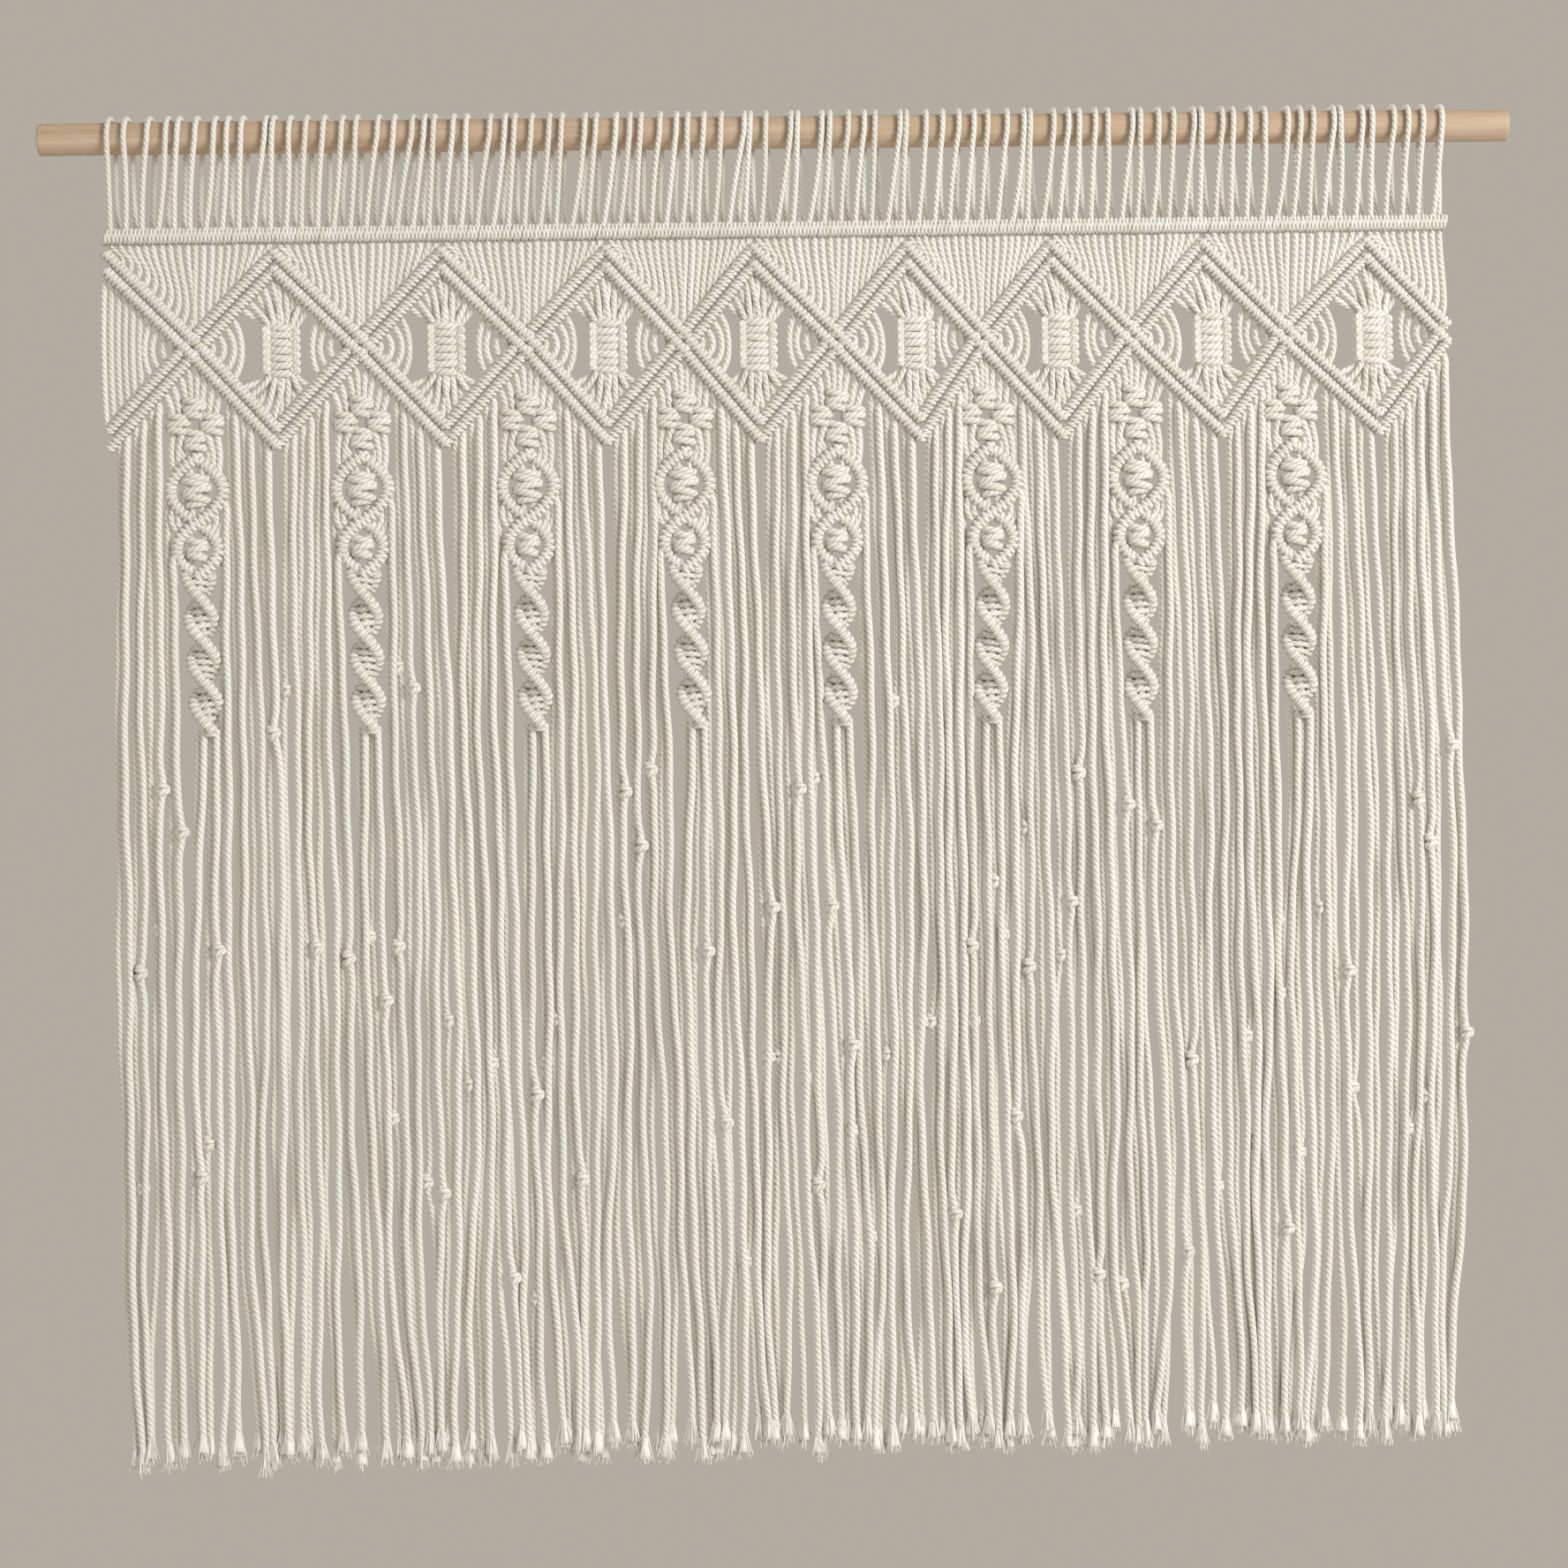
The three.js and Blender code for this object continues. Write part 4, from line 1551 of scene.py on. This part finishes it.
@dataclass
class Column:
    """What is knotted under a crossing: square knots, two rings of hitches, a spiral and its loose cords."""

    layout: Layout
    number: int
    left: Half
    right: Half
    exits: tuple[float, ...]
    first_seed: int = 50
    hang_level: float = -170.0
    knot_levels: tuple[float, float, float] = (-201.0, -212.5, -224.5)
    knot_reach: float = 12.2
    knot_drift: float = 1 / 3
    stack_depth: float = -0.6
    ring_top: float = -238.0
    ring_middle: float = -262.0
    ring_cross: float = -286.0
    second_middle: float = -305.5
    second_end: float = -325.0
    ring_half: float = 19.4
    second_half: float = 15.6
    ring_points: int = 13
    second_points: int = 11
    ring_round: float = 0.85
    ring_depth: float = -0.7
    ring_pass: float = 1.3
    spiral_top: float = -325.0
    spiral_bottom: float = -442.0
    spiral_step: float = 6.0
    knot_wrap: Wrap = Wrap(half_width=10.0, half_depth=6.6, thick=2.3, wide=2.9, pitch=5.0, slant=9, group=1,
                           segments=12)
    knot_turns: int = 3
    berry_turns: int = 3
    cap_turns: int = 2
    second_turns: int = 3
    knot_core: float = 4.6
    bundle_tone: float = 0.6
    ring_wrap: Wrap = Wrap(half_width=5.3, half_depth=5.8, thick=1.75, wide=2.3, pitch=4.0, slant=12)
    berry_wrap: Wrap = Wrap(half_width=12.4, half_depth=9.2, thick=2.4, wide=3.0, pitch=5.2, slant=11, group=1,
                            segments=13)
    berry_ends: Wrap = Wrap(half_width=9.4, half_depth=7.6, thick=2.4, wide=3.1, pitch=19.6, slant=10, group=1,
                            segments=12)
    berry_shift: float = -0.4
    second_wrap: Wrap = Wrap(half_width=9.5, half_depth=7.8, thick=2.3, wide=3.0, pitch=5.3, slant=11, group=1,
                             segments=12)
    second_shift: float = -0.6
    berry_core: float = 5.4
    spiral_wrap: Wrap = Wrap(half_width=9.4, half_depth=5.8, thick=1.9, wide=2.1, pitch=5.25, slant=6, turn=-30,
                             segments=12)
    spiral_core: float = 3.6
    edge_wrap: Wrap = Wrap(half_width=4.9, half_depth=4.3, thick=2.0, wide=2.6, pitch=4.6, slant=24)
    edge_core: float = 3.0
    edge_reach: float = 9.2
    edge_points: int = 40
    edge_short: float = 3.0
    cord_depth: float = 2.7
    roots: tuple[Root, ...] = (
        Root(Spot(Level.SPIRAL_END, 2.4, 3), 0, 6), Root(Spot(Level.SPIRAL_END, 6.8, 3), 0, 6),
        Root(Spot(Level.SECOND, 16.6, -4), 3, 7), Root(Spot(Level.RING, 20.4, -8), 3, 7))
    neck_pull: float = 5.0
    necks: tuple[Spot, ...] = (
        Spot(Level.TOP_KNOT, 2.3, 4), Spot(Level.TOP_KNOT, 5.6, 2),
        Spot(Level.SIDE_KNOTS, 10.7, 4), Spot(Level.SIDE_KNOTS, 15.2, 3))
    link_cord: float = 2.5
    link_points: int = 8
    link_ease: float = 0.34
    bow_pull: float = 1.4
    links: tuple[Link, ...] = (
        Link(Spot(Level.TOP_KNOT, 4.5, -3), Spot(Level.SIDE_KNOTS, 7.6, 4), 2.0),
        Link(Spot(Level.TOP_KNOT, 2.4, -3), Spot(Level.SIDE_KNOTS, 10.0, 5, 2.4), 2.0),
        Link(Spot(Level.SIDE_KNOTS, 7.6, -3), Spot(Level.LOW_KNOT, 4.5, 4), -2.0),
        Link(Spot(Level.SIDE_KNOTS, 10.7, -3), Spot(Level.RING_TOP, 8.5, -5), 1.0),
        Link(Spot(Level.SIDE_KNOTS, 14.8, -3), Spot(Level.RING_TOP, 15.5, -13), 2.4),
        Link(Spot(Level.SIDE_KNOTS, 8.2, -4, -2.6), Spot(Level.RING_TOP, 12.0, -8), 2.0),
        Link(Spot(Level.LOW_KNOT, 2.4, -3), Spot(Level.RING_TOP, 3.0, -3)),
        Link(Spot(Level.RING, 16.5, -12), Spot(Level.SECOND, 12.0, 9), 4.4),
        Link(Spot(Level.RING, 12.0, -17), Spot(Level.SECOND, 9.0, 12), 3.2),
        Link(Spot(Level.RING, 10.5, 13), Spot(Level.RING, 4.6, 4)),
        Link(Spot(Level.RING, 5.0, 18), Spot(Level.RING, 2.2, 5)),
        Link(Spot(Level.RING, 4.6, -4), Spot(Level.RING, 10.5, -14)),
        Link(Spot(Level.RING, 2.2, -5), Spot(Level.RING, 4.0, -18)),
        Link(Spot(Level.SECOND, 6.0, 10), Spot(Level.SECOND, 2.4, 3)),
        Link(Spot(Level.SECOND, 2.4, -3), Spot(Level.SECOND, 6.0, -10)))

    @property
    def row(self) -> Diamond:
        """The diamond whose crossing this column hangs from."""
        return self.layout.diamonds[self.number - 1]

    @property
    def node(self) -> str:
        """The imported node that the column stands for."""
        return f"pendant_{self.number}"

    def middle(self, z: float) -> float:
        """The column's middle along the rod at a height.

        Args:
            z: The height.

        Returns:
            The place along the rod.
        """
        row = self.row
        heights = (self.spiral_bottom, self.spiral_top, self.ring_middle, self.knot_levels[1], self.hang_level)
        drifts = (row.tip, row.ring, row.ring, row.ring * self.knot_drift, 0.0)
        return row.crossing + float(np.interp(z, heights, drifts))

    def point(self, x: float, z: float, y: float = 0.0) -> Points:
        """A point by its distance from the column's middle."""
        return at(self.middle(z) + x, z, y)

    def placed(self, spot: Spot, side: int) -> Points:
        """The point of a spot at one side of the column.

        Args:
            spot: The spot.
            side: -1 for the left or 1 for the right.

        Returns:
            The point.
        """
        top, sides, low = self.knot_levels
        heights = {Level.TOP_KNOT: top, Level.SIDE_KNOTS: sides, Level.LOW_KNOT: low, Level.RING_TOP: self.ring_top,
                   Level.RING: self.ring_middle, Level.SECOND: self.second_middle,
                   Level.SPIRAL_END: self.spiral_bottom}
        return self.point(side * spot.out, heights[spot.level] + spot.up, spot.back)

    def hangers(self) -> list[Hanger]:
        """The column's loose cords, from the middle outwards on each side.

        Returns:
            Two from each side of the rings and four from the spiral.
        """
        made = []
        for half in (self.left, self.right):
            for rank, root in enumerate(self.roots):
                front = half.is_front(rank)
                depth = self.cord_depth * (-1 if front else 1)
                made.append(Hanger(self.placed(replace(root.spot, back=depth), half.side),
                                   at(half.side * root.out, -root.down), self.layout.hem_place(half, rank), front,
                                   self.node))
        return made

    def build(self, shop: Workshop, falls: Sequence[Cord]) -> bpy.types.Object:
        """Ties the column.

        Args:
            shop: Where cord is worked.
            falls: Its loose cords as they hang.

        Returns:
            The one piece.
        """
        chance = np.random.default_rng(self.first_seed + self.number)
        rings, edges = self._ring_paths(), self._edges()
        knots = [self._stack(x, z, self.knot_turns, self.knot_wrap) for x, z in self._knot_spots()]
        berry = self._stack(self.berry_shift, self.ring_middle, self.berry_turns, self.berry_wrap)
        capped = self._stack(self.berry_shift, self.ring_middle, self.cap_turns, self.berry_ends)
        second = self._stack(self.second_shift, self.second_middle, self.second_turns, self.second_wrap)
        count = int((self.spiral_top - self.spiral_bottom) / self.spiral_step)
        spiral = np.array([self.point(0, z) for z in np.linspace(self.spiral_top, self.spiral_bottom, count)])
        carriers = self.layout.carriers
        cores = [*carriers(rings, self.layout.core), *carriers([spiral], self.spiral_core),
                 *carriers(edges, self.edge_core), *(Cord(path, self.knot_core, self.bundle_tone) for path in knots),
                 *(Cord(path, self.berry_core, self.bundle_tone) for path in (capped, second))]
        windings = ((edges, self.edge_wrap), (rings, self.ring_wrap), (knots, self.knot_wrap),
                    ([berry], self.berry_wrap), ([capped], self.berry_ends), ([second], self.second_wrap),
                    ([spiral], self.spiral_wrap))
        return piece(f"knotted_column_{self.number}", self.node, shop.cord([*self._short_cords(chance), *falls]),
                     shop.cord(cores), *(shop.wrap(paths, wrap) for paths, wrap in windings))

    def _edges(self) -> list[Points]:
        """The two edges of the spiral, which its half knots' cords turn back round.

        Returns:
            The points of each edge.
        """
        wrap = self.spiral_wrap
        levels = np.linspace(self.spiral_top, self.spiral_bottom + self.edge_short, self.edge_points)
        angles = np.radians(wrap.turn) * (self.spiral_top - levels) / wrap.pitch
        return [np.array([self.point(side * self.edge_reach * math.cos(a), z, -side * self.edge_reach * math.sin(a))
                          for a, z in zip(angles, levels)]) for side in (-1, 1)]

    def _knot_spots(self) -> list[tuple[float, float]]:
        """Where the four small square knots lie, from the column's middle."""
        top, sides, low = self.knot_levels
        return [(0.0, top), (-self.knot_reach, sides), (self.knot_reach, sides), (0.0, low)]

    def _stack(self, x: float, z: float, count: int, wrap: Wrap) -> Points:
        """The upright path of a few rings.

        Args:
            x: Their place from the column's middle.
            z: Their middle height.
            count: How many rings.
            wrap: The rings' sizes.

        Returns:
            The path's two ends.
        """
        half = (count - 1) * wrap.pitch * HALF_PITCH
        return np.array([self.point(x, z + half, self.stack_depth), self.point(x, z - half, self.stack_depth)])

    def _ring_paths(self) -> list[Points]:
        """The two rows of hitches that swing apart and cross to form the rings.

        Returns:
            The points of each row.
        """
        first = np.linspace(0, math.pi, self.ring_points)
        second = np.linspace(0, math.pi, self.second_points)[1:]
        return [np.array(self._swing(side * self.ring_half, self.ring_top, self.ring_cross, side, first)
                         + self._swing(-side * self.second_half, self.ring_cross, self.second_end, -side, second))
                for side in (-1, 1)]

    def _swing(self, reach: float, top: float, foot: float, side: int, angles: Points) -> list[Points]:
        """One side of a ring.

        Args:
            reach: How far it swings out of the middle.
            top: Where it starts.
            foot: Where it ends.
            side: 1 if it starts behind the other row, or else -1.
            angles: The angles at which its points lie.

        Returns:
            Its points.
        """
        return [self.point(reach * math.sin(a) ** self.ring_round, top + (foot - top) * a / math.pi,
                           self.ring_depth + side * self.ring_pass * math.cos(a)) for a in angles]

    def _short_cords(self, chance: np.random.Generator) -> list[Cord]:
        """The short cords between the lowest row, the knots and the rings.

        Args:
            chance: Where their unevenness comes from.

        Returns:
            The cords.
        """
        paths = []
        for half in (self.left, self.right):
            for fraction, neck in zip(self.exits, self.necks):
                start = half.lower.place(fraction, self.layout.row_edge)
                paths.append(bend(start, half.lower.out * self.neck_pull, self.placed(neck, half.side),
                                  at(0, -self.neck_pull), self.link_points))
            for link in self.links:
                start, end = self.placed(link.start, half.side), self.placed(link.end, half.side)
                drop = at(0, (end[2] - start[2]) * self.link_ease)
                bow = at(half.side * link.bow * self.bow_pull, 0)
                paths.append(bend(start, drop + bow, end, drop - bow, self.link_points))
        return [Cord(points, self.link_cord, chance.uniform()) for points in paths]


@dataclass
class Fringe:
    """The lowest row of hitches, the loose cords below it, their overhand knots and their brushed-out ends."""

    layout: Layout
    seed: int = 71
    node: str = "fringe"
    first_exit: float = 0.16
    exit_step: float = 0.09
    exit_pull: float = 5.0
    exit_drop: float = 2.0
    steep_rank: int = 6
    steep_ranks: int = 3
    steep_drop: float = 3.0
    knotted_share: float = 0.5
    lowest_knot: float = -880.0
    highest_knot: float = -385.0
    highest_column_knot: float = -480.0
    knot_wrap: Wrap = Wrap(half_width=5.9, half_depth=5.7, thick=2.5, wide=2.9, pitch=4.2, slant=27, group=1,
                           segments=11)

    def exits(self) -> tuple[float, ...]:
        """Where cords leave a lower diagonal, as fractions from its crossing."""
        return tuple(self.first_exit + self.exit_step * rank for rank in range(self.layout.cords_per_half))

    def hangers(self, half: Half) -> list[Hanger]:
        """The loose cords of a half that belong to the fringe, from the crossing outwards.

        Args:
            half: The half diamond.

        Returns:
            The cords' starts.
        """
        layout = self.layout
        made = []
        for rank, fraction in enumerate(self.exits()):
            if rank >= layout.column_cords or half.is_open:
                steep = float(smooth((rank - self.steep_rank) / self.steep_ranks))
                leave = (half.lower.out * self.exit_pull * (1 - steep)
                         + at(0, -self.exit_drop - self.steep_drop * steep))
                made.append(Hanger(half.lower.place(fraction, layout.row_edge), leave,
                                   layout.hem_place(half, rank), half.is_front(rank), self.node))
        return made

    def tie(self, hangers: Sequence[Hanger]) -> None:
        """Chooses which loose cords get an overhand knot, and where.

        Args:
            hangers: All the loose cords, changed here.
        """
        chance = np.random.default_rng(self.seed)
        for hanger in hangers:
            highest = self.highest_knot if hanger.owner == self.node else self.highest_column_knot
            level = chance.uniform(self.lowest_knot, highest)
            if chance.uniform() < self.knotted_share:
                hanger.knot = level

    def build(self, shop: Workshop, falls: Sequence[tuple[Hanger, Cord]], ends: Points) -> list[bpy.types.Object]:
        """Ties the fringe.

        Args:
            shop: Where cord is worked.
            falls: Every loose cord of the curtain as it hangs.
            ends: The points where they are brushed out, one a row.

        Returns:
            The row of hitches, both layers of cords, the knots and the ends.
        """
        rows = self.layout.hitch_rows([(half.lower, 1) for half in self.layout.halves()], shop)
        front, back = ([cord for hanger, cord in falls if hanger.owner == self.node and hanger.front == is_front]
                       for is_front in (True, False))
        knots = [self._overhand(cord, hanger.knot) for hanger, cord in falls if hanger.knot is not None]
        return [piece("lowest_hitches", self.node, *rows),
                piece("fringe_front", self.node, shop.cord(front)),
                piece("fringe_back", self.node, shop.cord(back)),
                piece("overhand_knots", self.node, shop.wrap(knots, self.knot_wrap)),
                piece("frayed_ends", self.node, shop.fray(ends, Fray()))]

    def _overhand(self, cord: Cord, level: float) -> Points:
        """A tight overhand knot on a loose cord.

        Args:
            cord: The loose cord.
            level: The height at which it is tied.

        Returns:
            The short path that its turns are wound round.
        """
        rank = int(np.argmin(np.abs(cord.points[:, 2] - level)))
        way = cord.points[rank + 1] - cord.points[rank - 1]
        half = way / np.linalg.norm(way) * self.knot_wrap.pitch * HALF_PITCH
        return np.array([cord.points[rank] - half, cord.points[rank] + half])


@dataclass(frozen=True)
class Lamp:
    """A square soft light: its name, place, width, strength in watts and colour."""

    name: str
    place: tuple[float, float, float]
    size: float
    power: float
    colour: Colour


@dataclass
class Studio:
    """A plain pale floor, soft light that comes mostly from the upper right, and the camera."""

    aim: tuple[float, float, float] = (-0.005, 0.0, -0.487)
    distance: float = 2.5
    frame_width: float = 1.172
    yaw: float = 2.4
    roll: float = 1.03
    sensor: float = 36.0
    floor_level: float = -2.0
    floor_radius: float = 3.6
    floor_sides: int = 96
    air: Colour = (0.445, 0.41, 0.357)
    lamps: tuple[Lamp, ...] = (
        Lamp("key_light", (2.6, -2.9, 0.9), 1.5, 138.0, (0.99, 0.99, 0.97)),
        Lamp("fill_light", (-2.6, -2.6, -0.2), 2.0, 12.0, (0.97, 0.985, 1.0)),
        Lamp("back_light", (-1.4, 3.0, 0.9), 1.6, 78.0, (1.0, 0.985, 0.96)))

    def build(self) -> None:
        """Sets up the studio."""
        self._floor()
        self._air()
        for lamp in self.lamps:
            self._light(lamp)
        self._camera()
        bpy.context.scene.view_settings.view_transform = "Standard"

    def _floor(self) -> None:
        """Lays a round floor well below the hem."""
        shell = bmesh.new()
        bmesh.ops.create_circle(shell, cap_ends=True, cap_tris=False, segments=self.floor_sides,
                                radius=self.floor_radius)
        for vert in shell.verts:
            vert.co.z = self.floor_level
        mesh = bpy.data.meshes.new("studio_floor")
        shell.to_mesh(mesh)
        shell.free()
        mesh.materials.append(PaleFloor().material())
        floor = bpy.data.objects.new("studio_floor", mesh)
        bpy.context.scene.collection.objects.link(floor)

    def _air(self) -> None:
        """Fills the studio with even light of one pale colour."""
        world = bpy.data.worlds.new("studio_air")
        world.use_nodes = True
        world.node_tree.nodes["Background"].inputs["Color"].default_value = (*self.air, 1.0)
        bpy.context.scene.world = world

    def _light(self, lamp: Lamp) -> None:
        """Hangs a light that faces the curtain.

        Args:
            lamp: The light.
        """
        data = bpy.data.lights.new(lamp.name, "AREA")
        data.size, data.energy, data.color = lamp.size, lamp.power, lamp.colour
        light = bpy.data.objects.new(lamp.name, data)
        light.location = lamp.place
        light.rotation_euler = (Vector(self.aim) - Vector(lamp.place)).to_track_quat("-Z", "Y").to_euler()
        bpy.context.scene.collection.objects.link(light)

    def _camera(self) -> None:
        """Stands the camera before the curtain, a little to its left and tipped as in the photograph."""
        data = bpy.data.cameras.new("camera")
        data.sensor_width = self.sensor
        data.lens = self.sensor * self.distance / self.frame_width
        camera = bpy.data.objects.new("camera", data)
        turn = math.radians(self.yaw)
        aim = Vector(self.aim)
        place = aim + Vector((-math.sin(turn), -math.cos(turn), 0)) * self.distance
        tip = Matrix.Rotation(math.radians(-self.roll), 3, "Z")
        facing = (aim - place).to_track_quat("-Z", "Y").to_matrix() @ tip
        camera.matrix_world = Matrix.Translation(place) @ facing.to_4x4()
        bpy.context.scene.collection.objects.link(camera)
        bpy.context.scene.camera = camera


def main() -> None:
    """Builds the studio, then the curtain from the rod down."""
    logging.basicConfig(level=logging.INFO, format="%(name)s: %(message)s")
    LOG.info("packed nodes: %d", len(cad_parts))
    Studio().build()
    layout = Layout()
    shop = Workshop(CottonCord().material())
    rod, fringe = Rod(), Fringe(layout)
    halves = layout.halves()
    columns = [Column(layout, index + 1, halves[2 * index], halves[2 * index + 1], fringe.exits())
               for index in range(len(layout.diamonds))]
    hangers = [hanger for half in halves for hanger in fringe.hangers(half)]
    hangers += [hanger for column in columns for hanger in column.hangers()]
    hangers.sort(key=lambda hanger: hanger.hem_x)
    fringe.tie(hangers)
    loose = Curtainfall(layout)
    cords = loose.hang(hangers)
    falls = list(zip(hangers, cords))
    ends = np.array([loose.brushed(cord) for cord in cords])
    made = [*rod.build(PaleWood().material()), *Heading(layout, rod.radius).build(shop), *Lattice(layout).build(shop),
            *fringe.build(shop, falls, ends)]
    for column in columns:
        made.append(column.build(shop, [cord for hanger, cord in falls if hanger.owner == column.node]))
    for obj in made:
        obj.data.calc_loop_triangles()
        LOG.info("%s: %d triangles", obj.name, len(obj.data.loop_triangles))
    LOG.info("in all: %d triangles", sum(len(obj.data.loop_triangles) for obj in made))


if __name__ == "__main__":
    main()
